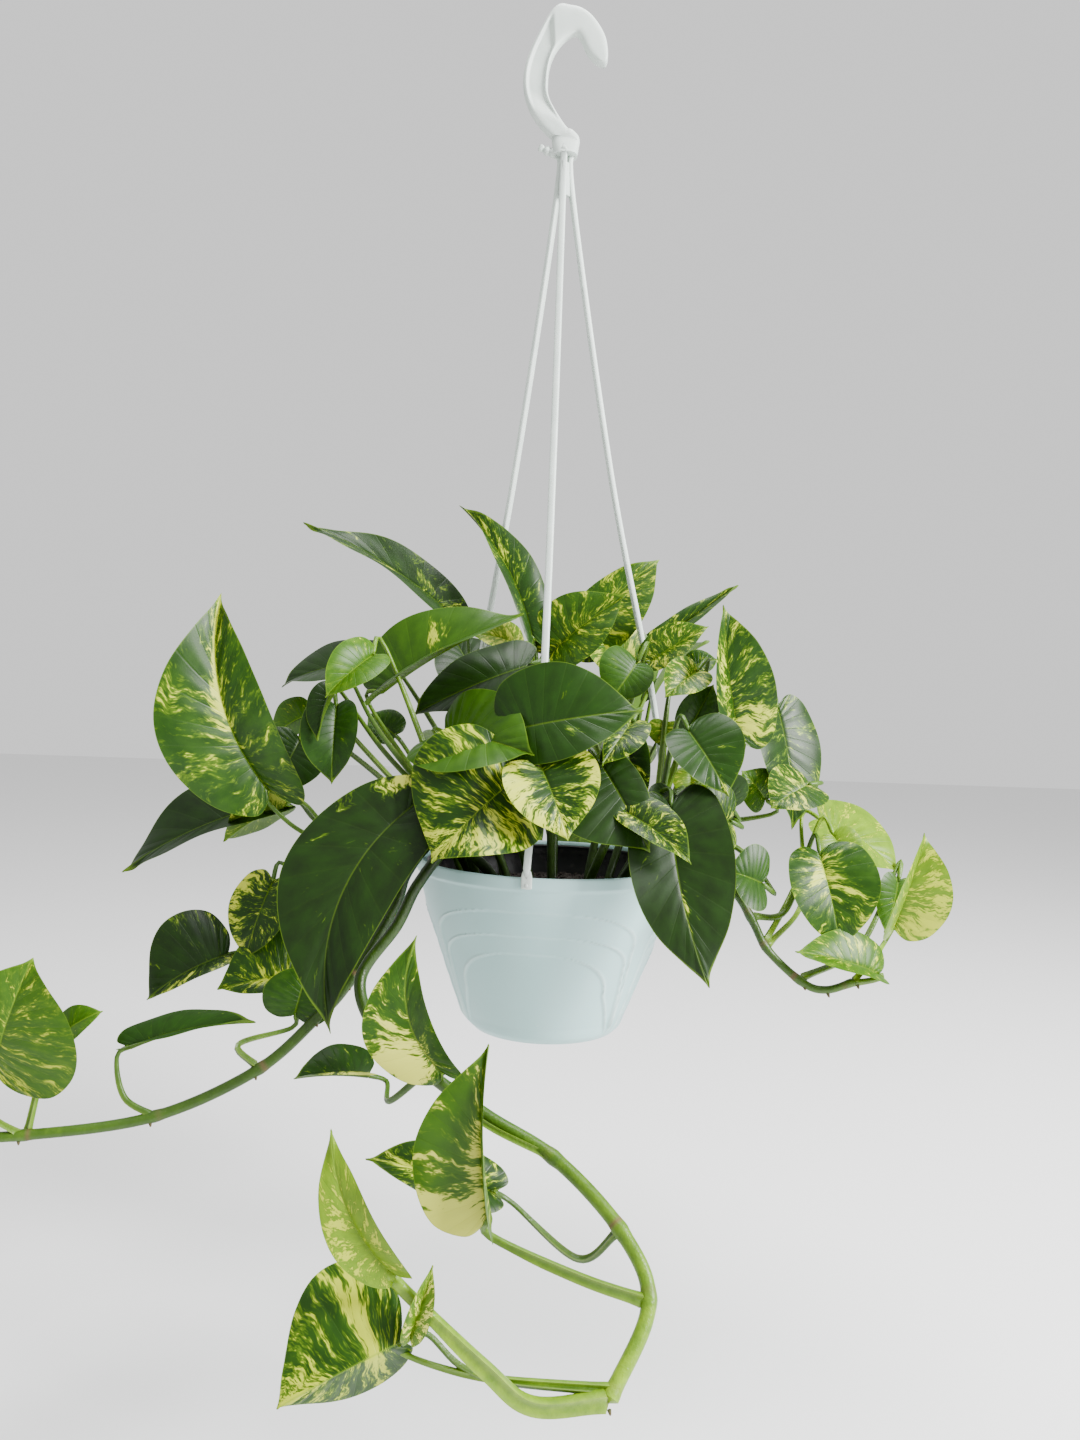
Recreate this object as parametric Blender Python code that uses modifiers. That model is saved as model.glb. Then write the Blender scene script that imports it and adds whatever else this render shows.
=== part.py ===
"""Golden pothos growing in a hanging pot.

A pale plastic pot hangs on a moulded hanger with a hook and three straps. Inside it stand a black
grower's pot and its soil, and out of the soil grow leafy stems, three of which trail over the rim.

Frame: the origin is the seat of the hook, where its underside rests on a rail or a ceiling hook.
+Z is up and the front, towards a viewer, is -Y. Stems and leaves are placed in millimetres from the
centre of the pot's rim: x to the right, y away from the viewer, z up.
"""
import math
import random
from typing import NamedTuple

import bmesh
import bpy
from mathutils import Matrix, Vector

MM = 0.001
GAP = 0.3  # clearance between touching pieces

# Pot and what stands in it, in millimetres
RIM_DROP = 564.0  # from the seat of the hook down to the rim
POT_HEIGHT = 115.0
RIM_RADIUS = 91.0
BAND_HEIGHT = 8.0
POT_WALL = 2.0
POT_OUTSIDE = [(9.5, 89.4), (34, 83), (55, 75.8), (82, 66.5), (102, 58.7), (110, 54), (113.6, 50.5)]
BASE_RADIUS = 46.5
POT_STEPS = 32

LINER_TOP = 2.0  # below the rim
LINER_TOP_RADIUS = 84.6
LINER_FOOT_RADIUS = 48.0
LINER_FOOT_RISE = 4.0
LINER_WALL = 1.2

SOIL_EDGE_DEPTH = 23.0  # below the rim
SOIL_CROWN = 3.0  # how much higher the soil is at its middle

# Hanger, in millimetres
# Each strap: degrees round from the front to the right, and how far it bulges outward and sideways at
# the shares of its run in STRAP_SHARES
STRAPS = (
    (-9.0, ((0, 3), (2, 4.5))),
    (111.0, ((-2, 0), (5, 0))),
    (-129.0, ((-3, 0), (1, 0))),
)
STRAP_SHARES = (0.42, 0.78)
STRAP_WIDTH = 4.6
STRAP_THICKNESS = 3.0
STRAP_STEP = 40.0
TONGUE_WIDTH = 7.0
TONGUE_THICKNESS = 2.0
TONGUE_REACH = 7.0  # below the top of the rim
PEG_RADIUS = 1.5
PEG_HEAD_RADIUS = 2.6
PEG_HEAD_THICKNESS = 0.9
PEG_HEAD_SETBACK = 1.9  # inside the band, clear of the wall that leans in below it
PEG_DROP = 4.2
COLLAR_X = -5.0
STRAP_SPREAD = 6.2  # from the collar's axis to a strap where it leaves the collar
STRAP_TOP = -76.0  # inside the collar
HOOK_DEPTH = 9.5
HOOK_RECESS = 3.0
HOOK_OUTSIDE = [
    (-15.5, -70), (-22.5, -63.5), (-29, -55), (-33.5, -45), (-35.5, -34), (-34.5, -22.5), (-31, -11),
    (-25, 2), (-18, 14.8), (-12, 20), (-5, 19.4), (2, 18), (9, 13.8), (15.5, 6.4), (20, -2),
    (21.8, -11), (21.8, -20.5),
]
HOOK_INSIDE = [
    (17.5, -20.3), (11.5, -16.5), (6.5, -10.5), (3.5, -4), (0, 0), (-4.5, -1.5), (-9.5, -6),
    (-14.5, -13.5), (-17.5, -22.5), (-18.4, -33), (-17, -44.5), (-8, -59), (-1, -67), (4.5, -73.5),
]
HOOK_RECESS_CENTRE = [(-22, -3), (-25.5, -15), (-27, -30), (-26, -42), (-21, -53)]
HOOK_RECESS_WIDTH = 9.0
COLLAR_PROFILE = [(4.0, -64), (9.0, -72), (9.5, -75), (8.6, -80), (7.4, -82)]
BRIDGE_RADIUS = 5.8
BRIDGE_SPAN = (-109.0, -87.0)
NUB_BEADS = [(-13, -80, 3.4), (-17.5, -79, 3.0), (-21.5, -77.5, 2.4)]

# Leaves and stems, in millimetres
BLADE_THICKNESS = 0.8
LARGE_LEAF = 64.0  # a leaf at least this wide gets the finer grid
LARGE_GRID = (6, 2)  # rows from joint to tip, columns on each side of the midrib
SMALL_GRID = (5, 1)
ROOT_SETBACK = 2.5  # from a point of the stem back to its first petiole, and on to the next
ROOT_SPACING = 2.5
PETIOLE_ROOT = 1.9
PETIOLE_TOP = 1.35
PETIOLE_SIDES = 4
PETIOLE_STEP = 42.0
STEM_SIDES = 6
STEM_STEP = 22.0
# One half of a leaf's edge, from the joint round the lobe to the tip: along the length, and across
# as a part of half the width
LEAF_EDGE = [
    (0, 0), (-0.07, 0.18), (-0.10, 0.45), (0, 0.82), (0.22, 1), (0.46, 0.97), (0.68, 0.71),
    (0.85, 0.32), (0.94, 0.09), (1, 0),
]
MARGIN_WAVE = 0.022  # height of the wave along a leaf's edge, as a part of its length
WAVES = 1.6

BACK_SEED = 11
BACK_AZIMUTHS = (122, 143, 168, 191, 211)
BACK_STAGGER = 10.0  # how much further out, and lower, every second leaf of a tier is
# Three tiers of leaves behind the straps: how far out and how high the joint and the tip are, and width
BACK_TIERS = [
    ((112, 30), (142, -52), 60),
    ((112, 84), (174, 58), 45),
    ((94, 112), (140, 164), 50),
]


class Leaf(NamedTuple):
    """One leaf: where its blade starts and ends, and how the blade lies."""
    node: int  # which point of the stem its petiole grows from
    joint: tuple
    tip: tuple
    width: float
    face: tuple  # the way its upper side looks
    fold: tuple = (14, 14)  # degrees by which its left and right halves rise from the midrib
    droop: float = 30  # degrees by which its midrib bends
    via: tuple = ()  # points that its petiole passes on the way
    sweep: float = 0  # how far its midrib bows to its left, as a part of its length
    halves: tuple = (1, 1)  # how wide its left and right halves are, as parts of half the width
    twist: float = 0  # degrees by which it turns about its midrib from joint to tip


class Stem(NamedTuple):
    """One leafy stem: the points it runs through, its radius at both ends, and its leaves."""
    points: tuple
    radii: tuple
    leaves: tuple


STEMS = {
    "vine_left": Stem(
        ((-46, -16, -48), (-49, -19, -22), (-60, -34, 6), (-76, -50, 15), (-91, -61, -4), (-98, -67, -26),
         (-122, -84, -69), (-140, -92, -90), (-173, -105, -119), (-230, -120, -143), (-302, -130, -152),
         (-334, -131, -153)),
        (3.6, 3),
        (
            Leaf(10, (-322, -120, -117), (-297, -128, -49), 76, (0, -1, .1), fold=(24, 6),
                 via=((-318, -130, -140),), halves=(1, 1.25)),
            Leaf(6, (-204, -60, -60), (-250, -75, -87), 60, (-.2, -.8, .5), fold=(20, 15), droop=50,
                 via=((-150, -62, -46), (-186, -50, -42)), halves=(.35, 1.25)),
            Leaf(6, (-159, -65, -69), (-205, -78, -78), 62, (0, -.85, .5), fold=(30, 12), droop=20,
                 halves=(.4, 1)),
            Leaf(6, (-177, -58, -13), (-191, -66, -62), 42, (-.2, -.9, .3), via=((-136, -64, -40),)),
            Leaf(8, (-154, -88, -89), (-147, -80, -58), 44, (0, -1, .1), via=((-185, -100, -105),)),
            Leaf(9, (-244, -115, -103), (-172, -110, -88), 35, (.1, -.2, 1), fold=(48, 30), droop=24,
                 via=((-246, -118, -132),), halves=(.9, .35)),
        ),
    ),
    "vine_front": Stem(
        ((-24, -34, -48), (-28, -38, -22), (-47, -54, 5), (-64, -66, 14), (-82, -79, -8), (-93, -88, -32),
         (-112, -102, -62), (-98, -120, -88), (-65, -140, -105), (-31, -150, -124), (8, -165, -141),
         (43, -190, -168), (55, -210, -194), (34, -235, -228)),
        (3.4, 4),
        (
            Leaf(8, (-106, -105, -119), (-148, -115, -119), 44, (0, -.5, .85), fold=(56, 10), droop=20,
                 via=((-90, -122, -128),)),
            Leaf(10, (-58, -150, -100), (-73, -158, -22), 50, (0, -1, .1), fold=(12, 12), droop=25,
                 via=((-32, -156, -126),), sweep=.15, halves=(1.05, .5)),
            Leaf(12, (-27, -200, -157), (-30, -203, -66), 70, (0, -1, .1), fold=(6, 86), droop=20,
                 via=((19, -205, -183),), sweep=.04, halves=(1, .5)),
            Leaf(11, (-27, -172, -156), (-96, -170, -141), 46, (0, -.6, .8), fold=(24, 24), droop=20,
                 via=((20, -182, -186),), halves=(.8, .8)),
            Leaf(13, (-72, -240, -165), (-101, -245, -95), 32, (-.1, -.95, .2), fold=(20, 24), droop=25,
                 via=((-2, -239, -227), (-26, -240, -209)), sweep=.08, halves=(.9, .8)),
            Leaf(13, (-67, -235, -202), (-122, -250, -226), 84, (0, -.7, .7), fold=(-80, 8), droop=20,
                 via=((-28, -233, -218),), halves=(.8, 1.1)),
        ),
    ),
    "vine_right": Stem(
        ((40, -16, -48), (44, -20, -22), (60, -32, 8), (80, -43, 17), (99, -51, 8), (119, -59, -10),
         (130, -62, -27), (140, -66, -45), (161, -72, -63), (175, -76, -66), (192, -80, -59)),
        (3.2, 2.4),
        (
            Leaf(7, (188, 0, 32), (239, -10, -2), 62, (.1, -.5, .85), fold=(10, 10), droop=40,
                 via=((172, -20, -20),)),
            Leaf(6, (173, -55, 16), (184, -72, -43), 64, (0, -.9, .35), via=((154, -50, -22),),
                 halves=(1, .8)),
            Leaf(8, (236, -20, -5), (225, -28, -39), 30, (.2, -.9, .3), via=((206, -40, -46),)),
            Leaf(10, (224, -50, -30), (240, -55, 32), 58, (0, -1, .1), fold=(66, 6),
                 via=((208, -62, -48),)),
            Leaf(10, (207, -75, -55), (152, -85, -41), 44, (0, -.6, .8), fold=(26, 26), droop=25,
                 halves=(.7, 1)),
        ),
    ),
    "stem_left": Stem(
        ((-56, 6, -48), (-58, 5, -22), (-70, 0, 10), (-86, -6, 26)),
        (3.2, 2.8),
        (
            Leaf(3, (-185, -45, 45), (-216, -55, 171), 92, (.3, -1, .15), fold=(17, 32), droop=22,
                 via=((-150, -30, 12),), sweep=.12, halves=(1, .66)),
            Leaf(3, (-185, -20, 34), (-283, -35, -14), 74, (-.2, -.55, .8), via=((-150, -12, 18),),
                 halves=(.55, 1)),
            Leaf(2, (-178, -30, 33), (-216, -35, 8), 44, (0, .5, .85), via=((-130, -16, 0),)),
            Leaf(3, (-174, -5, 76), (-188, -15, 38), 52, (0, -.9, .4), via=((-130, 0, 60),)),
            Leaf(3, (-172, 14, 94), (-199, 12, 75), 40, (-.2, -.7, .7), via=((-132, 10, 70),)),
        ),
    ),
    "stem_left_front": Stem(
        ((-42, -34, -48), (-45, -36, -22), (-54, -40, 8), (-68, -47, 32)),
        (3.2, 2.8),
        (
            Leaf(3, (-83, -90, 44), (-125, -125, -89), 94, (-.1, -1, .1), fold=(10, 10), droop=22,
                 via=((-76, -68, 52),), sweep=-.15, halves=(.66, .86)),
            Leaf(3, (-142, -46, 100), (-142, -54, 50), 44, (0, -.9, .4), fold=(24, 24),
                 via=((-110, -46, 72),), halves=(.8, 1)),
            Leaf(3, (-142, -52, 111), (-150, -62, 78), 30, (-.6, -.7, .3), fold=(50, 50),
                 via=((-112, -52, 84),)),
            Leaf(3, (-118, -54, 134), (-144, -74, 106), 38, (.3, -.7, .6), fold=(34, 34), droop=40),
            Leaf(3, (-115, -30, 111), (-22, -34, 165), 74, (.1, -.75, .65), fold=(6, 58), droop=26),
        ),
    ),
    "stem_top_left": Stem(
        ((-26, 6, -48), (-28, 5, -20), (-40, 0, 12), (-54, -4, 46)),
        (3, 2.6),
        (
            Leaf(3, (-125, 10, 130), (-194, 20, 112), 60, (0, -.5, .85), fold=(16, 16), droop=40),
            Leaf(3, (-72, 24, 165), (-184, 30, 231), 54, (.2, -.6, .78), fold=(30, 20), sweep=-.1,
                 halves=(1, .8)),
        ),
    ),
    "stem_centre_front": Stem(
        ((-8, -40, -48), (-10, -43, -22), (-17, -52, 8), (-24, -60, 32)),
        (3, 2.8),
        (
            Leaf(3, (-18, -26, 132), (-95, -30, 95), 60, (0, -.6, .8), droop=34, via=((-30, -48, 80),),
                 sweep=.05),
            Leaf(3, (-27, -90, 90), (53, -98, 105), 72, (0, -.95, .36), fold=(10, 10), droop=24,
                 via=((-30, -76, 66),), halves=(1, .72), twist=-20),
            Leaf(3, (-69, -62, 86), (-12, -113, 76), 84, (-.2, -.75, .6), fold=(20, 22), droop=22,
                 halves=(.8, .95)),
            Leaf(3, (-25, -92, 59), (-71, -118, 12), 104, (0, -.8, .55), fold=(4, 10), halves=(.72, 1),
                 twist=50),
            Leaf(3, (-9, -100, 71), (9, -124, 28), 66, (.1, -.85, .5), fold=(18, 14),
                 via=((-24, -84, 54),), halves=(.95, .85)),
        ),
    ),
    "stem_centre_back": Stem(
        ((2, 20, -48), (2, 20, -20), (0, 18, 20), (-6, 14, 60)),
        (3, 2.6),
        (
            Leaf(3, (-17, 9, 153), (-72, 24, 246), 44, (.5, -.8, .3), fold=(44, 30), droop=20, sweep=-.06,
                 halves=(.8, 1)),
            Leaf(3, (-26, 28, 148), (-60, 20, 154), 34, (0, -.7, .7)),
            Leaf(3, (-4, 10, 141), (47, 0, 183), 58, (-.2, -.85, .5), fold=(26, 20), droop=24),
        ),
    ),
    "stem_top_right": Stem(
        ((26, 12, -48), (27, 13, -20), (34, 18, 20), (40, 24, 60)),
        (3, 2.6),
        (
            Leaf(3, (14, 49, 154), (75, 55, 216), 62, (-.2, -.9, .4), fold=(22, 14), halves=(.62, 1.1)),
            Leaf(3, (62, 42, 132), (15, 36, 163), 50, (0, -.85, .5)),
            Leaf(3, (68, 48, 146), (134, 52, 198), 44, (-.4, -.7, .6), fold=(44, 44), droop=10,
                 halves=(.55, 1)),
            Leaf(3, (65, 0, 138), (105, 0, 164), 34, (-.2, -.8, .5), fold=(30, 30), droop=10),
            Leaf(3, (54, -27, 136), (36, -34, 109), 44, (0, -1, .1), fold=(8, 8), droop=40,
                 halves=(.72, 1)),
        ),
    ),
    "stem_right_front": Stem(
        ((20, -40, -48), (22, -43, -22), (32, -54, 10), (42, -62, 34)),
        (3, 2.8),
        (
            Leaf(3, (28, -84, 72), (59, -104, 20), 84, (.1, -.9, .4), fold=(20, 4), droop=20,
                 halves=(.42, 1)),
            Leaf(3, (46, -66, 86), (53, -85, 38), 38, (-.2, -.9, .3), fold=(20, 20), halves=(.72, 1)),
            Leaf(3, (48, -72, 97), (29, -94, 70), 32, (0, -.8, .55), fold=(20, 20), droop=24,
                 halves=(1, .6)),
            Leaf(3, (43, -98, 44), (82, -118, 16), 36, (.1, -.7, .7), fold=(24, 10), halves=(1, .6)),
            Leaf(3, (72, -88, 47), (95, -116, -57), 70, (.1, -1, .15), fold=(8, 8), droop=16, sweep=-.05,
                 halves=(1, .84)),
        ),
    ),
    "stem_right": Stem(
        ((46, 2, -48), (50, 0, -22), (62, -10, 16), (76, -22, 46)),
        (3, 2.8),
        (
            Leaf(3, (92, -40, 131), (70, -54, 113), 32, (0, -.8, .5), fold=(24, 24)),
            Leaf(3, (84, -68, 93), (107, -92, 54), 54, (0, -.9, .4), halves=(1, .76)),
            Leaf(3, (90, -34, 94), (104, -36, 123), 30, (0, -.9, .3), fold=(30, 30)),
            Leaf(3, (123, -29, 88), (109, -34, 176), 70, (.1, -1, .1), fold=(62, 6), droop=16, sweep=.03,
                 halves=(1, .86)),
        ),
    ),
    "stem_right_outer": Stem(
        ((46, 24, -48), (50, 24, -22), (70, 14, 14), (92, 6, 30)),
        (3, 2.8),
        (
            Leaf(3, (155, 3, 109), (165, -12, 26), 58, (.5, -.8, .3), droop=24, via=((124, 6, 82),)),
            Leaf(3, (169, -35, 59), (141, -52, 44), 42, (0, -.7, .7), droop=24, via=((136, -14, 52),)),
            Leaf(3, (112, -70, 37), (84, -80, 42), 44, (0, -.9, .4), via=((104, -30, 44),)),
            Leaf(3, (115, -55, 44), (98, -58, 62), 38, (0, -.9, .4), via=((108, -24, 40),)),
            Leaf(3, (144, -20, 47), (127, -22, 66), 34, (0, -.8, .5)),
            Leaf(3, (134, -68, -2), (110, -74, 6), 46, (0, -.8, .5), fold=(16, 16), via=((122, -34, 16),)),
        ),
    ),
}
# Where the three stems behind stand, and which leaves of each tier they carry
BACK_STEMS = {
    "stem_back_right": (((40, 40, -48), (44, 44, -22), (56, 56, 14), (64, 62, 40)), (0, 1)),
    "stem_back": (((4, 46, -48), (4, 50, -22), (4, 64, 14), (4, 72, 38)), (2,)),
    "stem_back_left": (((-28, 36, -48), (-32, 42, -22), (-42, 58, 14), (-46, 66, 40)), (3, 4)),
}


def clear_scene():
    """Remove the objects that a new file starts with."""
    for thing in list(bpy.data.objects):
        bpy.data.objects.remove(thing, do_unlink=True)


def new_collection(name):
    """Make a collection under the scene's own."""
    collection = bpy.data.collections.new(name)
    bpy.context.scene.collection.children.link(collection)
    return collection


def at_rim(point):
    """Turn millimetres from the rim's centre into a place in the part's frame."""
    x, y, z = point
    return Vector((x, y, z - RIM_DROP)) * MM


def material(name, colour, roughness, metallic=0.0):
    """A Principled material of one colour."""
    made = bpy.data.materials.new(name)
    made.use_nodes = True
    shader = made.node_tree.nodes["Principled BSDF"]
    shader.inputs["Base Color"].default_value = (*colour, 1)
    shader.inputs["Roughness"].default_value = roughness
    shader.inputs["Metallic"].default_value = metallic
    made.diffuse_color = (*colour, 1)
    return made


def put(name, mesh, collection, finish=None):
    """Make an object of a mesh in a collection."""
    thing = bpy.data.objects.new(name, mesh)
    collection.objects.link(thing)
    if finish:
        mesh.materials.clear()
        mesh.materials.append(finish)
    return thing


def evaluated(thing):
    """An object's mesh with its modifiers applied, in world places."""
    graph = bpy.context.evaluated_depsgraph_get()
    mesh = bpy.data.meshes.new_from_object(thing.evaluated_get(graph))
    mesh.transform(thing.matrix_world)
    return mesh


def replace_with_mesh(thing, weld=0.0):
    """Turn a curve, or an object with modifiers, into a plain mesh object in its place."""
    bpy.context.view_layer.update()
    mesh = evaluated(thing)
    if weld:
        shape = bmesh.new()
        shape.from_mesh(mesh)
        bmesh.ops.remove_doubles(shape, verts=shape.verts, dist=weld)
        bmesh.ops.recalc_face_normals(shape, faces=shape.faces)
        shape.to_mesh(mesh)
        shape.free()
    name = thing.name
    collection = thing.users_collection[0]
    bpy.data.objects.remove(thing, do_unlink=True)
    return put(name, mesh, collection)


def smooth_path(points, step):
    """Places along a smooth curve through the points, about one step apart, and their share of its run."""
    points = [Vector(point) for point in points]
    ends = [2 * points[0] - points[1]] + points + [2 * points[-1] - points[-2]]
    places = [points[0]]
    for before, start, end, after in zip(ends, ends[1:], ends[2:], ends[3:]):
        pieces = max(1, round((end - start).length / step))
        for piece in range(1, pieces + 1):
            t = piece / pieces
            places.append(0.5 * (
                2 * start + (end - before) * t
                + (2 * before - 5 * start + 4 * end - after) * t ** 2
                + (3 * start - before - 3 * end + after) * t ** 3
            ))
    return places


def tube(name, places, radii, sides, collection):
    """A closed tube along the places, its radius running evenly from the first value to the second."""
    curve = bpy.data.curves.new(name, "CURVE")
    curve.dimensions = "3D"
    curve.bevel_depth = MM
    curve.bevel_resolution = (sides - 4) // 2
    curve.use_fill_caps = True
    spline = curve.splines.new("POLY")
    spline.points.add(len(places) - 1)
    last = len(places) - 1
    for number, (point, place) in enumerate(zip(spline.points, places)):
        point.co = (*at_rim(place), 1)
        point.radius = radii[0] + (radii[1] - radii[0]) * number / last
    thing = bpy.data.objects.new(name, curve)
    collection.objects.link(thing)
    return replace_with_mesh(thing, weld=0.01 * MM)


def fuse(base, pieces, solver="EXACT"):
    """Join every object of a collection to the base in one Boolean union, and remove them."""
    union = base.modifiers.new("fuse", "BOOLEAN")
    union.operation = "UNION"
    union.operand_type = "COLLECTION"
    union.collection = pieces
    union.solver = solver
    joined = replace_with_mesh(base)
    for piece in list(pieces.objects):
        bpy.data.objects.remove(piece, do_unlink=True)
    bpy.data.collections.remove(pieces)
    return joined


def cut(body, tools, operation="DIFFERENCE"):
    """Cut every object of a collection out of a body, and keep the cutters out of sight."""
    knife = body.modifiers.new("cut", "BOOLEAN")
    knife.operation = operation
    knife.operand_type = "COLLECTION"
    knife.collection = tools
    for tool in tools.objects:
        tool.hide_render = True
        tool.display_type = "WIRE"


def turned(name, profile, collection, finish, steps=POT_STEPS):
    """Turn a profile of (radius, height) points, given in millimetres, about the Z axis.

    The profile starts and ends on the axis, and it runs down the outer side.
    """
    shape = bmesh.new()
    corners = [shape.verts.new((radius * MM, 0, height * MM)) for radius, height in profile]
    for start, end in zip(corners, corners[1:]):
        shape.edges.new((start, end))
    mesh = bpy.data.meshes.new(name)
    shape.to_mesh(mesh)
    shape.free()
    thing = put(name, mesh, collection, finish)
    screw = thing.modifiers.new("turn", "SCREW")
    screw.steps = steps
    screw.render_steps = steps
    screw.use_merge_vertices = True
    screw.merge_threshold = 0.00005
    return thing


# Leaf shape

def leaf_edge(t):
    """Point of a leaf's edge at t, from 0 at the joint to 1 at the tip."""
    last = len(LEAF_EDGE) - 1
    span = min(int(t * last), last - 1)
    local = t * last - span
    points = [Vector(LEAF_EDGE[min(max(span + shift, 0), last)]) for shift in (-1, 0, 1, 2)]
    before, start, end, after = points
    return 0.5 * (
        2 * start + (end - before) * local
        + (2 * before - 5 * start + 4 * end - after) * local ** 2
        + (3 * start - before - 3 * end + after) * local ** 3
    )


def leaf_frame(leaf):
    """Axes of a leaf: along its chord, to its left, and out of its upper face; and its chord."""
    along = Vector(leaf.tip) - Vector(leaf.joint)
    chord = along.length
    along.normalize()
    up = Vector(leaf.face)
    up -= up.dot(along) * along
    up.normalize()
    return along, up.cross(along), up, chord


def blade_point(leaf, t, v, phase):
    """Point of a blade: t runs from joint to tip, v from its right edge at -1 to its left edge at 1.

    The flat point lies between a point of the midrib and one of the edge. The halves then fold up
    from the midrib, the edge waves, the blade twists about the midrib, and the midrib bends in an arc.
    """
    along, left, up, chord = leaf_frame(leaf)
    bend = math.radians(max(leaf.droop, 1))
    length = chord * (bend / 2) / math.sin(bend / 2)
    edge = leaf_edge(t)
    side = abs(v)
    run = (t * t + (edge.x - t * t) * side) * length
    half = leaf.halves[0] if v > 0 else leaf.halves[1]
    across = edge.y * side * half * leaf.width / 2
    angle = bend / 2 - bend * run / length
    radius = length / bend
    ahead = radius * (math.sin(bend / 2) - math.sin(angle))
    height = radius * (math.cos(angle) - math.cos(bend / 2))
    tilt = math.radians(leaf.fold[0] if v > 0 else leaf.fold[1])
    rise = across * math.sin(tilt) * (1.2 - 0.4 * side)
    rise += MARGIN_WAVE * length * side * side * math.sin(2 * math.pi * WAVES * t + phase)
    flat = math.copysign(across * math.cos(tilt), v)
    turn = math.radians(leaf.twist) * (run / length - 0.5)
    sideways = flat * math.cos(turn) - rise * math.sin(turn)
    rise = flat * math.sin(turn) + rise * math.cos(turn)
    sideways += leaf.sweep * run * 4 * (1 - run / length)
    ahead -= rise * math.sin(angle)
    height += rise * math.cos(angle)
    return Vector(leaf.joint) + along * ahead + left * sideways + up * height


def blade(name, leaf, phase, collection):
    """One leaf's blade: a grid laid on the leaf's surface, split into triangles and thickened."""
    rows, columns = LARGE_GRID if leaf.width >= LARGE_LEAF else SMALL_GRID
    shape = bmesh.new()
    bmesh.ops.create_grid(shape, x_segments=rows, y_segments=2 * columns, size=1)
    for corner in shape.verts:
        t = (corner.co.x + 1) / 2
        corner.co = at_rim(blade_point(leaf, t, corner.co.y, phase))
    bmesh.ops.remove_doubles(shape, verts=shape.verts, dist=0.001 * MM)
    bmesh.ops.triangulate(shape, faces=shape.faces)
    mesh = bpy.data.meshes.new(name)
    shape.to_mesh(mesh)
    shape.free()
    thing = put(name, mesh, collection)
    thicken = thing.modifiers.new("thicken", "SOLIDIFY")
    thicken.thickness = BLADE_THICKNESS * MM
    thicken.offset = 0
    return replace_with_mesh(thing)


def petiole_points(leaf, stem):
    """A petiole's route: out of the stem, past its own points, and just past the start of the midrib.

    Petioles that share a point of the stem grow from it one behind the other.
    """
    together = [other for other in stem.leaves if other.node == leaf.node]
    setback = ROOT_SETBACK + ROOT_SPACING * together.index(leaf)
    root = Vector(stem.points[leaf.node])
    root += (Vector(stem.points[leaf.node - 1]) - root).normalized() * setback
    along, _, up, _ = leaf_frame(leaf)
    joint = Vector(leaf.joint)
    gap = (joint - root).length
    arrival = (along + 0.5 * up).normalized()
    approach = joint - arrival * min(0.25 * gap, 14)
    return [root, *leaf.via, approach, joint + arrival * PETIOLE_TOP]


def leafy_stem(name, stem, collection, finish):
    """One stem with its petioles and leaves, fused into one body."""
    pieces = new_collection(name + "_pieces")
    for number, leaf in enumerate(stem.leaves):
        route = smooth_path(petiole_points(leaf, stem), PETIOLE_STEP)
        tube(f"{name}_petiole_{number}", route, (PETIOLE_ROOT, PETIOLE_TOP), PETIOLE_SIDES, pieces)
        blade(f"{name}_blade_{number}", leaf, 2.4 * number, pieces)
    base = tube(name, smooth_path(stem.points, STEM_STEP), stem.radii, STEM_SIDES, collection)
    # The exact solver pinches off hollows where petioles pierce thin blades
    joined = fuse(base, pieces, "MANIFOLD")
    joined.name = name
    joined.data.materials.clear()
    joined.data.materials.append(finish)
    return joined


def back_leaf(tier, number, draw):
    """One leaf behind the plant, by the tier it hangs in and its number from the right."""
    (joint_out, joint_up), (tip_out, tip_up), width = BACK_TIERS[tier]
    stagger = BACK_STAGGER * (number % 2)
    turn = math.radians(BACK_AZIMUTHS[number] + draw.uniform(-3, 3) + 4 * tier)
    sweep = math.radians(draw.uniform(-9, 9))
    outward = Vector((math.sin(turn), -math.cos(turn), 0))
    tip_way = Vector((math.sin(turn + sweep), -math.cos(turn + sweep), 0))
    joint = outward * (joint_out + stagger) + Vector((0, 0, joint_up - stagger + draw.uniform(-5, 5)))
    tip = tip_way * (tip_out + stagger + draw.uniform(-8, 8))
    tip.z = tip_up - stagger + draw.uniform(-8, 8)
    face = outward + Vector((0, 0, 0.4 + 0.4 * tier))
    return Leaf(3, tuple(joint), tuple(tip), width * draw.uniform(0.88, 1.08), tuple(face), (14, 14), 34)


def back_stems():
    """The stems that the pot's back carries, with leaves in tiers, drawn from one seed."""
    draw = random.Random(BACK_SEED)
    places = range(len(BACK_AZIMUTHS))
    fans = [[back_leaf(tier, number, draw) for number in places] for tier in range(len(BACK_TIERS))]
    stems = {}
    for name, (points, carried) in BACK_STEMS.items():
        leaves = tuple(fan[number] for number in carried for fan in fans)
        stems[name] = Stem(points, (3.0, 2.8), leaves)
    return stems


# Pot, liner and soil

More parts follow.
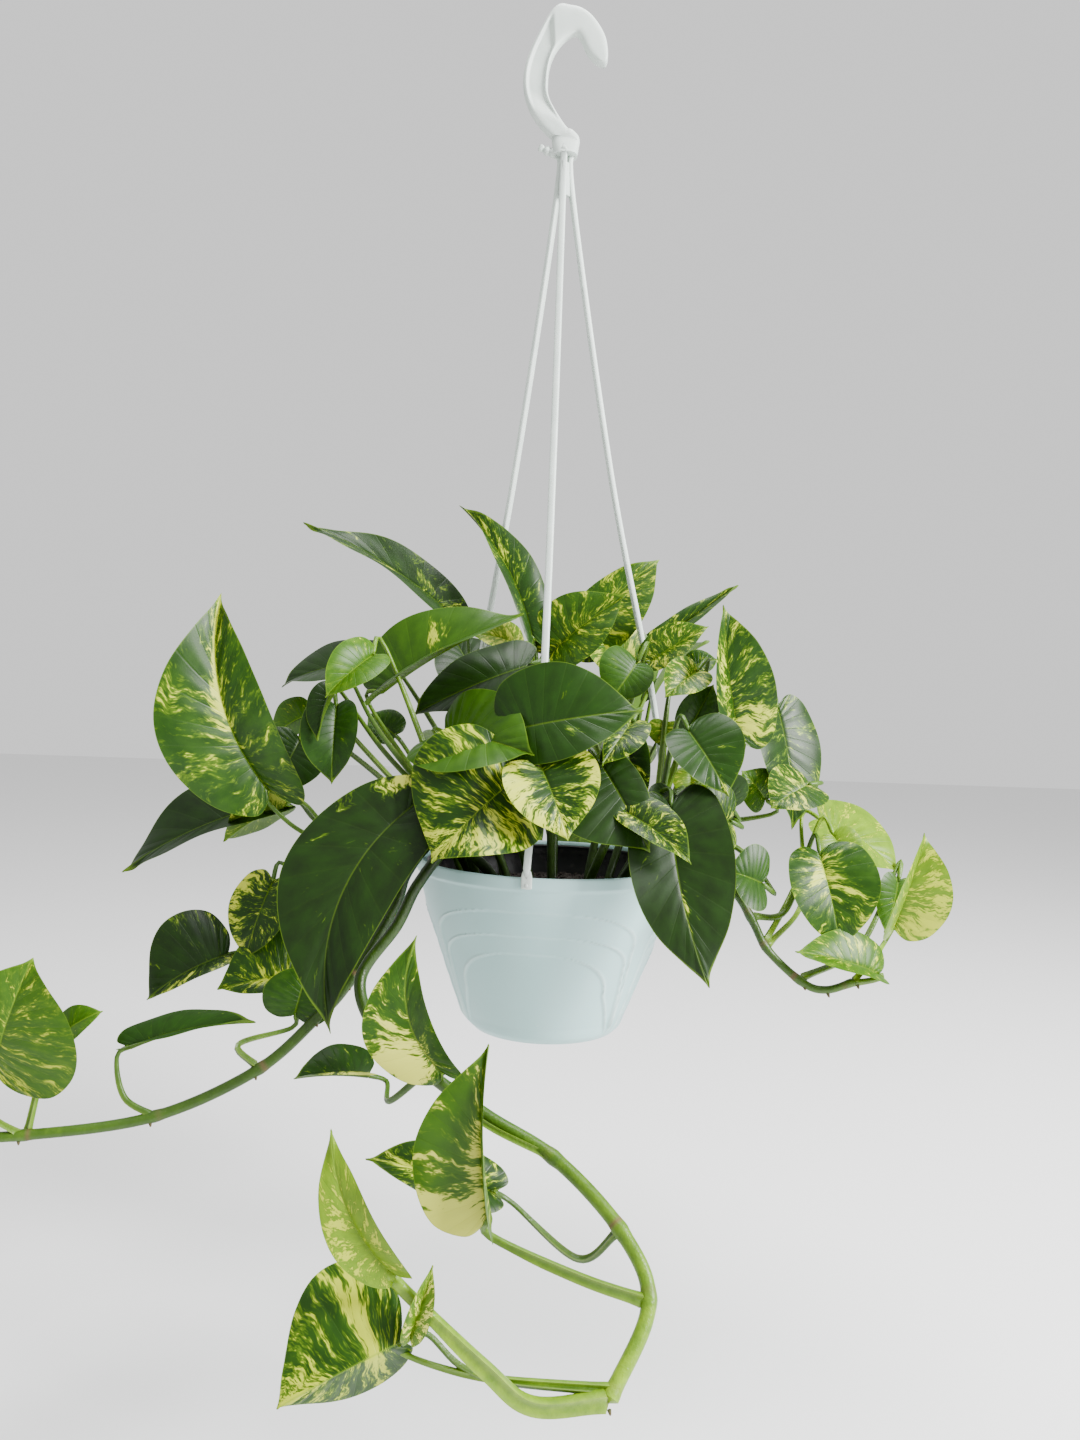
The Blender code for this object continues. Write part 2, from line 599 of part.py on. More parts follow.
def pot_shell(collection, cutters, finish):
    """The outer pot: a turned shell with a band round its rim, and a hole for each strap's peg."""
    inside = [(0, POT_WALL - POT_HEIGHT), (BASE_RADIUS - 1, POT_WALL - POT_HEIGHT)]
    inside += [(radius - POT_WALL, -depth) for depth, radius in POT_OUTSIDE[-3::-2]]
    inside += [(RIM_RADIUS - POT_WALL - 1, 0)]
    outside = [(RIM_RADIUS, 0), (RIM_RADIUS, -BAND_HEIGHT)]
    outside += [(radius, -depth) for depth, radius in POT_OUTSIDE]
    outside += [(BASE_RADIUS, -POT_HEIGHT), (0, -POT_HEIGHT)]
    pot = turned("pot_shell", inside + outside, collection, finish)
    pot.location.z = -RIM_DROP * MM
    for number, (azimuth, _) in enumerate(STRAPS):
        bore = peg(f"peg_hole_{number}", azimuth, PEG_RADIUS + GAP, RIM_RADIUS + 4, 12, cutters)
        bore.hide_render = True
    cut(pot, cutters)
    return pot


def peg(name, azimuth, radius, reach, length, collection):
    """A round pin through the rim band at one azimuth, its outer end at the given reach."""
    shape = bmesh.new()
    bmesh.ops.create_cone(
        shape, cap_ends=True, segments=8, radius1=radius * MM, radius2=radius * MM, depth=length * MM
    )
    turn = math.radians(azimuth)
    outward = Vector((math.sin(turn), -math.cos(turn), 0))
    centre = at_rim((0, 0, -PEG_DROP)) + outward * (reach - length / 2) * MM
    shape.transform(Matrix.Translation(centre) @ outward.to_track_quat("Z", "Y").to_matrix().to_4x4())
    mesh = bpy.data.meshes.new(name)
    shape.to_mesh(mesh)
    shape.free()
    return put(name, mesh, collection)


def liner_radius(depth):
    """Outer radius of the liner at a depth below the rim."""
    foot = POT_HEIGHT - POT_WALL - GAP - LINER_FOOT_RISE
    share = (foot - depth) / (foot - LINER_TOP)
    return LINER_FOOT_RADIUS + (LINER_TOP_RADIUS - LINER_FOOT_RADIUS) * share


def liner_pot(collection, finish):
    """The black grower's pot that stands on the outer pot's floor."""
    floor = POT_HEIGHT - POT_WALL - GAP
    inside = [
        (0, LINER_WALL - floor), (LINER_FOOT_RADIUS - LINER_FOOT_RISE, LINER_WALL - floor),
        (LINER_FOOT_RADIUS - LINER_WALL, LINER_FOOT_RISE - floor),
        (LINER_TOP_RADIUS - LINER_WALL, -LINER_TOP),
    ]
    outside = [
        (LINER_TOP_RADIUS, -LINER_TOP), (LINER_FOOT_RADIUS, LINER_FOOT_RISE - floor),
        (LINER_FOOT_RADIUS - LINER_FOOT_RISE, -floor), (0, -floor),
    ]
    liner = turned("liner_pot", inside + outside, collection, finish)
    liner.location.z = -RIM_DROP * MM
    return liner


def potting_soil(collection, holes, finish):
    """The soil: it fills the liner up to a low crown, with a plain hole for each stem."""
    floor = POT_HEIGHT - POT_WALL - GAP - LINER_WALL - GAP
    slack = LINER_WALL + GAP
    rim = liner_radius(SOIL_EDGE_DEPTH) - slack
    foot = liner_radius(floor - LINER_FOOT_RISE) - slack - 0.2
    crown = [(rim * share, SOIL_CROWN * (1 - share ** 2) - SOIL_EDGE_DEPTH) for share in (0, 0.6, 1)]
    profile = crown + [(foot, LINER_FOOT_RISE - floor), (foot - LINER_FOOT_RISE - 1, -floor), (0, -floor)]
    soil = turned("potting_soil", profile, collection, finish)
    soil.location.z = -RIM_DROP * MM
    cut(soil, holes)
    return soil


def stem_hole(name, stem, collection):
    """The hole in the soil round a stem's foot: the same curve, its flats clear of the stem's corners."""
    route = smooth_path(stem.points[:3], STEM_STEP)
    foot = route[0] + (route[0] - route[1]).normalized() * GAP
    radius = (stem.radii[0] + GAP) / math.cos(math.pi / STEM_SIDES)
    return tube(name, [foot] + route[1:], (radius, radius), STEM_SIDES, collection)


# Hanger

def outline_plate(name, outline, depth, collection):
    """A plate cut to an outline in the XZ plane, centred on it."""
    curve = bpy.data.curves.new(name, "CURVE")
    curve.dimensions = "2D"
    curve.fill_mode = "BOTH"
    curve.extrude = depth / 2 * MM
    spline = curve.splines.new("POLY")
    spline.points.add(len(outline) - 1)
    for point, (x, z) in zip(spline.points, outline):
        point.co = (x * MM, z * MM, 0, 1)
    spline.use_cyclic_u = True
    thing = bpy.data.objects.new(name, curve)
    thing.rotation_euler.x = math.pi / 2
    collection.objects.link(thing)
    return replace_with_mesh(thing, weld=0.01 * MM)


def hook(collection):
    """The hook: a thick plate cut to its outline, with both faces recessed along the limb."""
    outline = HOOK_OUTSIDE + HOOK_INSIDE
    plate = outline_plate("hanger", outline, HOOK_DEPTH, collection)
    soften = plate.modifiers.new("soften", "BEVEL")
    soften.width = 1.2 * MM
    soften.segments = 1
    soften.limit_method = "ANGLE"
    soften.angle_limit = math.radians(50)
    tools = new_collection("hook_recesses")
    centre = smooth_path([(x, 0, z) for x, z in HOOK_RECESS_CENTRE], 100)
    half = HOOK_RECESS_WIDTH / 2
    sides = ([], [])
    for number, place in enumerate(centre):
        ahead = centre[min(number + 1, len(centre) - 1)] - centre[max(number - 1, 0)]
        normal = Vector((ahead.z, 0, -ahead.x)).normalized()
        sides[0].append(place + normal * half)
        sides[1].append(place - normal * half)
    loop = [(place.x, place.z) for place in sides[0] + sides[1][::-1]]
    for number, way in enumerate((-1, 1)):
        recess = outline_plate(f"hook_recess_{number}", loop, 2 * HOOK_RECESS, tools)
        recess.location.y = way * HOOK_DEPTH / 2 * MM
    cut(plate, tools)
    recessed = replace_with_mesh(plate, weld=0.001 * MM)
    for tool in list(tools.objects):
        bpy.data.objects.remove(tool, do_unlink=True)
    bpy.data.collections.remove(tools)
    return recessed


def strap_route(azimuth, bulges):
    """A strap's centre line in millimetres from the seat, from the collar to the rim band, and its sides."""
    turn = math.radians(azimuth)
    outward = Vector((math.sin(turn), -math.cos(turn), 0))
    side = Vector((0, 0, 1)).cross(outward)
    top = Vector((COLLAR_X, 0, STRAP_TOP)) + outward * STRAP_SPREAD
    bridge = Vector((COLLAR_X, 0, BRIDGE_SPAN[0])) + outward * STRAP_SPREAD
    reach = RIM_RADIUS + GAP + STRAP_THICKNESS / 2
    rim = outward * reach + Vector((0, 0, 6 - RIM_DROP))
    end = outward * reach + Vector((0, 0, -RIM_DROP - 2))
    middle = [
        bridge.lerp(rim, share) + outward * out + side * across
        for share, (out, across) in zip(STRAP_SHARES, bulges)
    ]
    return smooth_path([top, bridge, *middle, rim, end], STRAP_STEP), outward, side


def strap(name, azimuth, bulges, collection):
    """One strap: a ribbon along its route, thickened, with a tongue and a peg at its end."""
    route, outward, side = strap_route(azimuth, bulges)
    shape = bmesh.new()
    bmesh.ops.create_grid(shape, x_segments=len(route) - 1, y_segments=1, size=1)
    for corner in shape.verts:
        place = route[round((corner.co.x + 1) / 2 * (len(route) - 1))]
        corner.co = (place + side * corner.co.y * STRAP_WIDTH / 2) * MM
    mesh = bpy.data.meshes.new(name)
    shape.to_mesh(mesh)
    shape.free()
    thing = put(name, mesh, collection)
    thicken = thing.modifiers.new("thicken", "SOLIDIFY")
    thicken.thickness = STRAP_THICKNESS * MM
    thicken.offset = 0
    replace_with_mesh(thing)
    tongue(name + "_tongue", outward, side, collection)
    root = RIM_RADIUS + GAP + TONGUE_THICKNESS / 2
    head = RIM_RADIUS - POT_WALL - PEG_HEAD_SETBACK
    peg(name + "_peg", azimuth, PEG_RADIUS, root, root - head + PEG_HEAD_THICKNESS / 2, collection)
    peg(name + "_head", azimuth, PEG_HEAD_RADIUS, head, PEG_HEAD_THICKNESS, collection)


def tongue(name, outward, side, collection):
    """The flat end of a strap, which lies on the outside of the rim band."""
    shape = bmesh.new()
    bmesh.ops.create_cube(shape, size=1)
    top = 5.0
    size = Vector((TONGUE_WIDTH, TONGUE_THICKNESS, TONGUE_REACH + top)) * MM
    reach = RIM_RADIUS + GAP + TONGUE_THICKNESS / 2
    centre = at_rim((0, 0, (top - TONGUE_REACH) / 2)) + outward * reach * MM
    turn = Matrix((side, outward, (0, 0, 1))).transposed().to_4x4()
    shape.transform(Matrix.Translation(centre) @ turn @ Matrix.Diagonal((*size, 1)))
    mesh = bpy.data.meshes.new(name)
    shape.to_mesh(mesh)
    shape.free()
    put(name, mesh, collection)


def hanger(collection, finish):
    """The one-piece hanger: hook, collar, bridge between the straps, and three straps."""
    body = hook(collection)
    pieces = new_collection("hanger_pieces")
    collar_axis = Matrix.Translation((COLLAR_X * MM, 0, 0))
    profile = [(0, COLLAR_PROFILE[0][1])] + COLLAR_PROFILE + [(0, COLLAR_PROFILE[-1][1])]
    collar = turned("collar", profile, pieces, finish, steps=12)
    collar.matrix_world = collar_axis
    replace_with_mesh(collar)
    low, high = BRIDGE_SPAN
    bridge = turned("bridge", [(0, high), (BRIDGE_RADIUS, high), (BRIDGE_RADIUS, low), (0, low)], pieces,
                    finish, steps=8)
    bridge.matrix_world = collar_axis
    replace_with_mesh(bridge)
    for number, (x, z, radius) in enumerate(NUB_BEADS):
        shape = bmesh.new()
        bmesh.ops.create_uvsphere(shape, u_segments=6, v_segments=4, radius=radius * MM)
        shape.transform(Matrix.Translation((x * MM, 0, z * MM)))
        mesh = bpy.data.meshes.new(f"nub_{number}")
        shape.to_mesh(mesh)
        shape.free()
        put(f"nub_{number}", mesh, pieces)
    for number, (azimuth, bulges) in enumerate(STRAPS):
        strap(f"strap_{number}", azimuth, bulges, pieces)
    joined = fuse(body, pieces)
    joined.name = "hanger"
    joined.data.materials.clear()
    joined.data.materials.append(finish)
    return joined


def main():
    """Build the potted plant on its hanger."""
    clear_scene()
    parts = new_collection("potted_golden_pothos")
    peg_holes = new_collection("peg_hole_cutters")
    stem_holes = new_collection("stem_hole_cutters")
    aqua = material("pot_plastic", (0.42, 0.60, 0.61), 0.35)
    black = material("liner_plastic", (0.012, 0.012, 0.013), 0.5)
    earth = material("potting_soil", (0.022, 0.015, 0.01), 0.95)
    milky = material("hanger_plastic", (0.68, 0.74, 0.70), 0.4)
    green = material("pothos_leaf", (0.05, 0.14, 0.025), 0.4)

    pot_shell(parts, peg_holes, aqua)
    liner_pot(parts, black)
    hanger(parts, milky)
    stems = {**STEMS, **back_stems()}
    for name, stem in stems.items():
        stem_hole(name + "_hole", stem, stem_holes)
        leafy_stem(name, stem, parts, green)
    potting_soil(parts, stem_holes, earth)


if __name__ == "__main__":
    main()
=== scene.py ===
"""Golden pothos in a hanging pot: the finished leaves, stems, soil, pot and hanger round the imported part.

Lengths in the tables are millimetres. Stems and leaves are placed from the centre of the pot's rim: x to
the right, y away from the viewer, z up. The hanger is placed from the seat of its hook.
"""
import math
import random
from typing import NamedTuple

import bpy
import numpy as np
from mathutils import Matrix, Vector


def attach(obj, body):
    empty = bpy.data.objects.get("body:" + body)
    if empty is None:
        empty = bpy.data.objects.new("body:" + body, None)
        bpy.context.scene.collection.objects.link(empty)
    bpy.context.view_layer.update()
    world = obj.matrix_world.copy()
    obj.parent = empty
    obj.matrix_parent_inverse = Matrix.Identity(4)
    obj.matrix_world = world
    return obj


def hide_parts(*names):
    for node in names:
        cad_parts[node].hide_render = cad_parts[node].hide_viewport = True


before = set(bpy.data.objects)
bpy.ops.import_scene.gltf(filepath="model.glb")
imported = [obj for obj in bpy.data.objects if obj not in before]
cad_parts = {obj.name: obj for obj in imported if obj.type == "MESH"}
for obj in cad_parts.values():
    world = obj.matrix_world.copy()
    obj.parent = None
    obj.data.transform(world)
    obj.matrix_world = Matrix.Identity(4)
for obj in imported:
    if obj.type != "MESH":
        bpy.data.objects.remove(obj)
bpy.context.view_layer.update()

MM = 0.001
SHARP_EDGE = 50.0  # degrees past which an edge of a grown or crumbly piece stays sharp
MOULDED_EDGE = 60.0  # and one of a moulded piece

# Pot: its profile is given in turn as (radius, height) up its inside, over its lip and band, down its
# wall, which is a smooth curve, and in under its foot
RIM_DROP = 564.0  # from the seat of the hook down to the rim
POT_HEIGHT = 115.0
RIM_RADIUS = 91.0
POT_WALL = 2.0
BASE_RADIUS = 46.5
POT_INSIDE = [
    (0, -113.0), (44.5, -113.0), (48.5, -111.6), (52, -108.0), (56.7, -100), (64.5, -80), (73.8, -53),
    (81.0, -32), (87.4, -9.5), (88.0, -2.5),
]
POT_LIP = [
    (88.2, -0.6), (88.9, -0.1), (90.0, 0.0), (90.8, -0.3), (RIM_RADIUS, -1.2), (RIM_RADIUS, -7.2),
    (90.7, -7.9), (90.0, -8.5),
]
POT_OUTSIDE = [
    (89.4, -9.5), (83, -34), (75.8, -55), (66.5, -82), (58.7, -102), (54, -110), (50.5, -113.6),
]
POT_FOOT = [(49.5, -114.6), (48.0, -POT_HEIGHT), (BASE_RADIUS, -POT_HEIGHT), (43.0, -114.0), (0, -114.0)]
POT_WALL_ROWS = 150
POT_COLUMNS = 480

# The pot's arches: depth of the top below the rim, half its span in degrees at the shoulder, and how
# far below its top the shoulder is
ARCHES = ((22, 54, 26), (38, 52, 24), (50, 43, 30))
ARCH_STEP = 0.7  # how much deeper each arch's panel lies
ARCH_EDGE = 1.6  # width of that step
ARCH_BEAD = 0.9  # height of the bead along it
ARCH_BEAD_WIDTH = 1.0
ARCH_BEAD_TOP = 0.35  # how strong the bead is at an arch's top, as a part of that at its sides
ARCH_BEAD_RISE = (10, 35)  # degrees from the top over which it grows to its full height
ARCH_SHOULDER = 2.1  # 1 for straight shoulders, and rounder as it grows
ARCH_SECTOR = 58.0  # half the span of every arch at the pot's foot, in degrees
ARCH_FADE = (2, 12)  # height above the base where the arches start, and where they are at full depth
MM_PER_DEGREE = 1.3  # along the wall, at about its middle

# Grower's pot, its lip given as (radius, height) from the radius of its top
LINER_TOP = 2.0
LINER_TOP_RADIUS = 84.6
LINER_FOOT_RADIUS = 48.0
LINER_FOOT_RISE = 4.0
LINER_WALL = 1.2
LINER_LIP_WIDTH = 3.4
LINER_LIP = [
    (-LINER_LIP_WIDTH, -9.0), (-2.6, -4.2), (-2.9, -3.0), (-2.2, -2.2), (-0.9, -2.0), (0, -2.6), (0, -6.0),
    (-0.6, -6.6),
]
LINER_COLUMNS = 160
GAP = 0.3

# Soil
SOIL_EDGE_DEPTH = 23.0
SOIL_CROWN = 3.0
SOIL_EDGE_GAP = 0.5
SOIL_FOOT_GAP = 0.4
SOIL_ROWS = 70
SOIL_COLUMNS = 220
SOIL_LUMPS = ((1.1, 5.0, 3), (0.7, 2.0, 4))  # height, size and seed
CRUMBS = 900
CRUMB_SEED = 8
CRUMB_SIZES = (0.5, 1.9)
CRUMB_PROFILE = [(0, -1), (0.75, -0.6), (1, 0), (0.7, 0.65), (0, 1)]
CRUMB_SIDES = 7
CRUMB_REACH = 0.97  # of the soil's radius
CRUMB_RISE = 0.6  # how far a crumb's middle is above the plain crown
CRUMB_DENTS = 0.25

# Hanger: each strap is given as degrees round from the front to the right, and how far it bulges
# outward and sideways at the shares of its run in STRAP_SHARES
STRAPS = (
    (-9.0, ((0, 3), (2, 4.5))),
    (111.0, ((-2, 0), (5, 0))),
    (-129.0, ((-3, 0), (1, 0))),
)
STRAP_SHARES = (0.42, 0.78)
STRAP_WIDTH = 4.6
STRAP_THICKNESS = 3.0
STRAP_BULGE = 0.4  # how far a strap's rounded faces stand out from the plain strap
STRAP_SPREAD = 6.2
STRAP_TOP = -76.0
STRAP_BEND = 6.0  # how far above the rim a strap turns to lie against it
STRAP_END = -2.0
STRAP_STEP = 6.0
STRAP_SIDES = 20
TONGUE_WIDTH = 7.0
TONGUE_THICKNESS = 2.0
TONGUE_REACH = 7.0
TONGUE_TOP = 5.0
TONGUE_ROUND = 1.6  # radius of its ends
TONGUE_TAPER = 0.25  # how much narrower it is at its top
TONGUE_RINGS = 24
PEG_DROP = 4.2
PEG_BUTTON = [(0, 0.5), (0.7, 0.45), (1.1, 0.2), (1.2, -1), (0, -1)]
COLLAR_X = -5.0
# The collar: half its width, half its depth and its height
COLLAR = [
    (5.0, 3.8, -65), (8.6, 4.6, -68.5), (9.6, 4.9, -72), (9.3, 5.6, -75), (8.7, 6.8, -79), (8.1, 7.7, -82),
]
COLLAR_STEP = 0.6
COLLAR_SIDES = 48
BRIDGE_SPAN = (-109.0, -87.0)
BRIDGE_CHAMFER = 0.6
BRIDGE_SIDES = 72
NUB_BEADS = [(-13, -80, 3.4), (-17.5, -79, 3.0), (-21.5, -77.5, 2.4)]
NUB_BEAD_RINGS = 15
NUB_BEAD_SIDES = 24
NUB_DENTS = 0.09
NUB_DENT_SIZE = 1.1
NUB_SEED = 20
HOOK_DEPTH = 9.5
HOOK_RECESS = 2.6
# The recess in the hook's limb: its start and its end, as shares of the hook's run, and its long sides, as
# shares of half the limb's width. Each is given as where it starts to sink and where it is at full depth.
RECESS_START = (0.12, 0.26)
RECESS_END = (0.60, 0.565)
RECESS_SIDES = (0.80, 0.58)
HOOK_END_ROUND = 0.03  # share of the run over which the hook's end is rounded
HOOK_END_DEPTH = 0.25  # how thick that end still is at its tip, as a part of the hook's thickness
HOOK_RINGS = 130
HOOK_SIDES = 64
HOOK_OUTSIDE = [
    (-15.5, -70), (-22.5, -63.5), (-29, -55), (-33.5, -45), (-35.5, -34), (-34.5, -22.5), (-31, -11),
    (-25, 2), (-18, 14.8), (-12, 20), (-5, 19.4), (2, 18), (9, 13.8), (15.5, 6.4), (20, -2),
    (21.8, -11), (21.8, -20.5),
]
HOOK_INSIDE = [
    (4.5, -73.5), (-1, -67), (-8, -59), (-17, -44.5), (-18.4, -33), (-17.5, -22.5), (-14.5, -13.5),
    (-9.5, -6), (-4.5, -1.5), (0, 0), (3.5, -4), (6.5, -10.5), (11.5, -16.5), (17.5, -20.3),
]
# How square each section's corners are: 1 is round, and 0 would be square
HOOK_CORNERS = 0.55
STRAP_CORNERS = 0.6
COLLAR_CORNERS = 0.8

# Blades
BLADE_THICKNESS = 0.6
# One half of a leaf's edge, from the joint round the lobe to the tip: along the length, and across
# as a part of half the width
LEAF_EDGE = [
    (0, 0), (-0.07, 0.18), (-0.10, 0.45), (0, 0.82), (0.22, 1), (0.46, 0.97), (0.68, 0.71),
    (0.85, 0.32), (0.94, 0.09), (1, 0),
]
MARGIN_WAVE = 0.022  # height of the wave along a leaf's edge, as a part of its length
WAVES = 1.6
RIPPLE = 0.006  # height of the finer waves on it
RIPPLES = 4.3
LEAF_VEINS = 14.0  # side veins on each half
PUCKER = 0.0045  # how far a blade bulges between its veins, as a part of its width
LARGE_LEAF = 50  # width from which a blade takes the finer grid
LARGE_GRID = (85, 31)  # rows along it and columns across it
SMALL_GRID = (57, 21)
CROWDING = 1.35  # 1 for even columns, and more where they crowd towards the midrib
GROOVE_DEPTH = 0.55  # of the midrib, on the upper side
GROOVE_WIDTH = 0.9
KEEL_HEIGHT = (0.2, 1.2)  # of the rib on the lower side: at the tip, and how much more at the joint
KEEL_WIDTH = (0.8, 0.7)
PHASE_STEP = 2.4  # how much each leaf's waves and splashes are shifted from the last one's

# Stems and petioles
PETIOLE_ROOT = 1.9
PETIOLE_TOP = 1.35
PETIOLE_STEP = 3.0
PETIOLE_SIDES = 16
PETIOLE_GROOVE = 0.32  # as a part of its radius
PETIOLE_WING = 0.42
SWELL_AT_STEM = 0.5
SWELL_AT_LEAF = 0.2
PETIOLE_YOUTH = (0.35, 0.6)  # how lime a petiole is: for the darkest leaf, and how much more for lime
ARRIVAL_LIFT = 0.5  # how much a petiole comes to its blade from below
APPROACH_SHARE = 0.25  # the straight last part of a petiole, as a part of its span
APPROACH_MOST = 14
ROOT_SETBACK = 2.5
ROOT_SPACING = 2.5
STEM_STEP = 2.5
STEM_SIDES = 18
NODE_SWELLING = 0.17  # as a part of the stem's radius
SWELLING_SETBACK = 3.0
SWELLING_REACH = 3.5
SCAR_SETBACK = 6.5
SCAR_WIDTH = 0.9
STEM_RIDGES = 3
RIDGE_HEIGHT = 0.035
STEM_END = 3.0  # length of a stem's round end
NUB_LENGTH = 3.2
NUB_RADIUS = 1.2
NUB_TAPER = 0.55
NUB_RINGS = 9
NUB_SIDES = 12
NUB_WAY = (0.25, -0.45, -0.85)
NUBS_FROM = 5  # the first point of a trailing stem that has a root nub
YOUTH = {"vine_left": 0.62, "vine_front": 0.95, "vine_right": 0.6}  # how lime a trailing stem's end is
PLAIN_YOUTH = 0.5

# Leaves behind the plant: five ways out, and three tiers of leaves, each given as how far out and how
# high its joints and its tips are, and how wide its leaves are
BACK_SEED = 11
BACK_AZIMUTHS = (122, 143, 168, 191, 211)
BACK_STAGGER = 10.0
BACK_TIERS = [
    ((112, 30), (142, -52), 60),
    ((112, 84), (174, 58), 45),
    ((94, 112), (140, 164), 50),
]
BACK_TIER_TURN = 4  # degrees by which each tier is turned from the one below it
# How far a leaf's way out and its tip's way, in degrees, and its joint and its tip may stray
BACK_TURN = 3
BACK_SWING = 9
BACK_JOINT_DRIFT = 5
BACK_TIP_DRIFT = 8
BACK_WIDTHS = (0.88, 1.08)
BACK_RADII = (3.0, 2.8)
BACK_FOLD = (14, 14)
BACK_DROOP = 34
BACK_PALE = 0.4

# Camera, floor and lights, in metres
CAMERA_PLACE = (-0.0095, -0.75, -0.455)
CAMERA_LENS = 27.1
CAMERA_SENSOR = 36
CAMERA_NEAR = 0.02
CAMERA_PITCH = -1.06
CAMERA_ROLL = 1.9
FLOOR_DROP = 0.90
FLOOR_REACH = 6.0
LIGHT_TARGET = (0, 0, -0.5)
# Each light: its place, its size and its power in watts
LIGHTS = {
    "key": ((1.5, -0.8, 0.35), 0.7, 120),
    "top": ((0.1, -0.1, 1.2), 0.9, 45),
}


class Look(NamedTuple):
    """How a leaf is coloured."""
    tone: float  # from 0, the darkest green, to 1, lime
    splash: float  # the share of the blade that its yellow splashes cover
    pale: float  # from 0, yellow-green splashes, to 1, cream ones
    patches: tuple = ()  # where the splashes gather: t, v, reach along t, reach along v, and strength


class Leaf(NamedTuple):
    """One leaf: where its blade starts and ends, how the blade lies, and its colours."""
    node: int  # which point of the stem its petiole grows from
    joint: tuple
    tip: tuple
    width: float
    face: tuple  # the way its upper side looks
    fold: tuple = (14, 14)  # degrees by which its left and right halves rise from the midrib
    droop: float = 30  # degrees by which its midrib bends
    via: tuple = ()  # points that its petiole passes on the way
    sweep: float = 0  # how far its midrib bows to its left, as a part of its length
    halves: tuple = (1, 1)  # how wide its left and right halves are, as parts of half the width
    twist: float = 0  # degrees by which it turns about its midrib from joint to tip
    stalk: float = 1  # how thick its petiole is, beside the others
    look: Look = Look(0.3, 0.3, 0.4)


class Stem(NamedTuple):
    """One leafy stem: the points it runs through, its radius at both ends, and its leaves."""
    points: tuple
    radii: tuple
    leaves: tuple


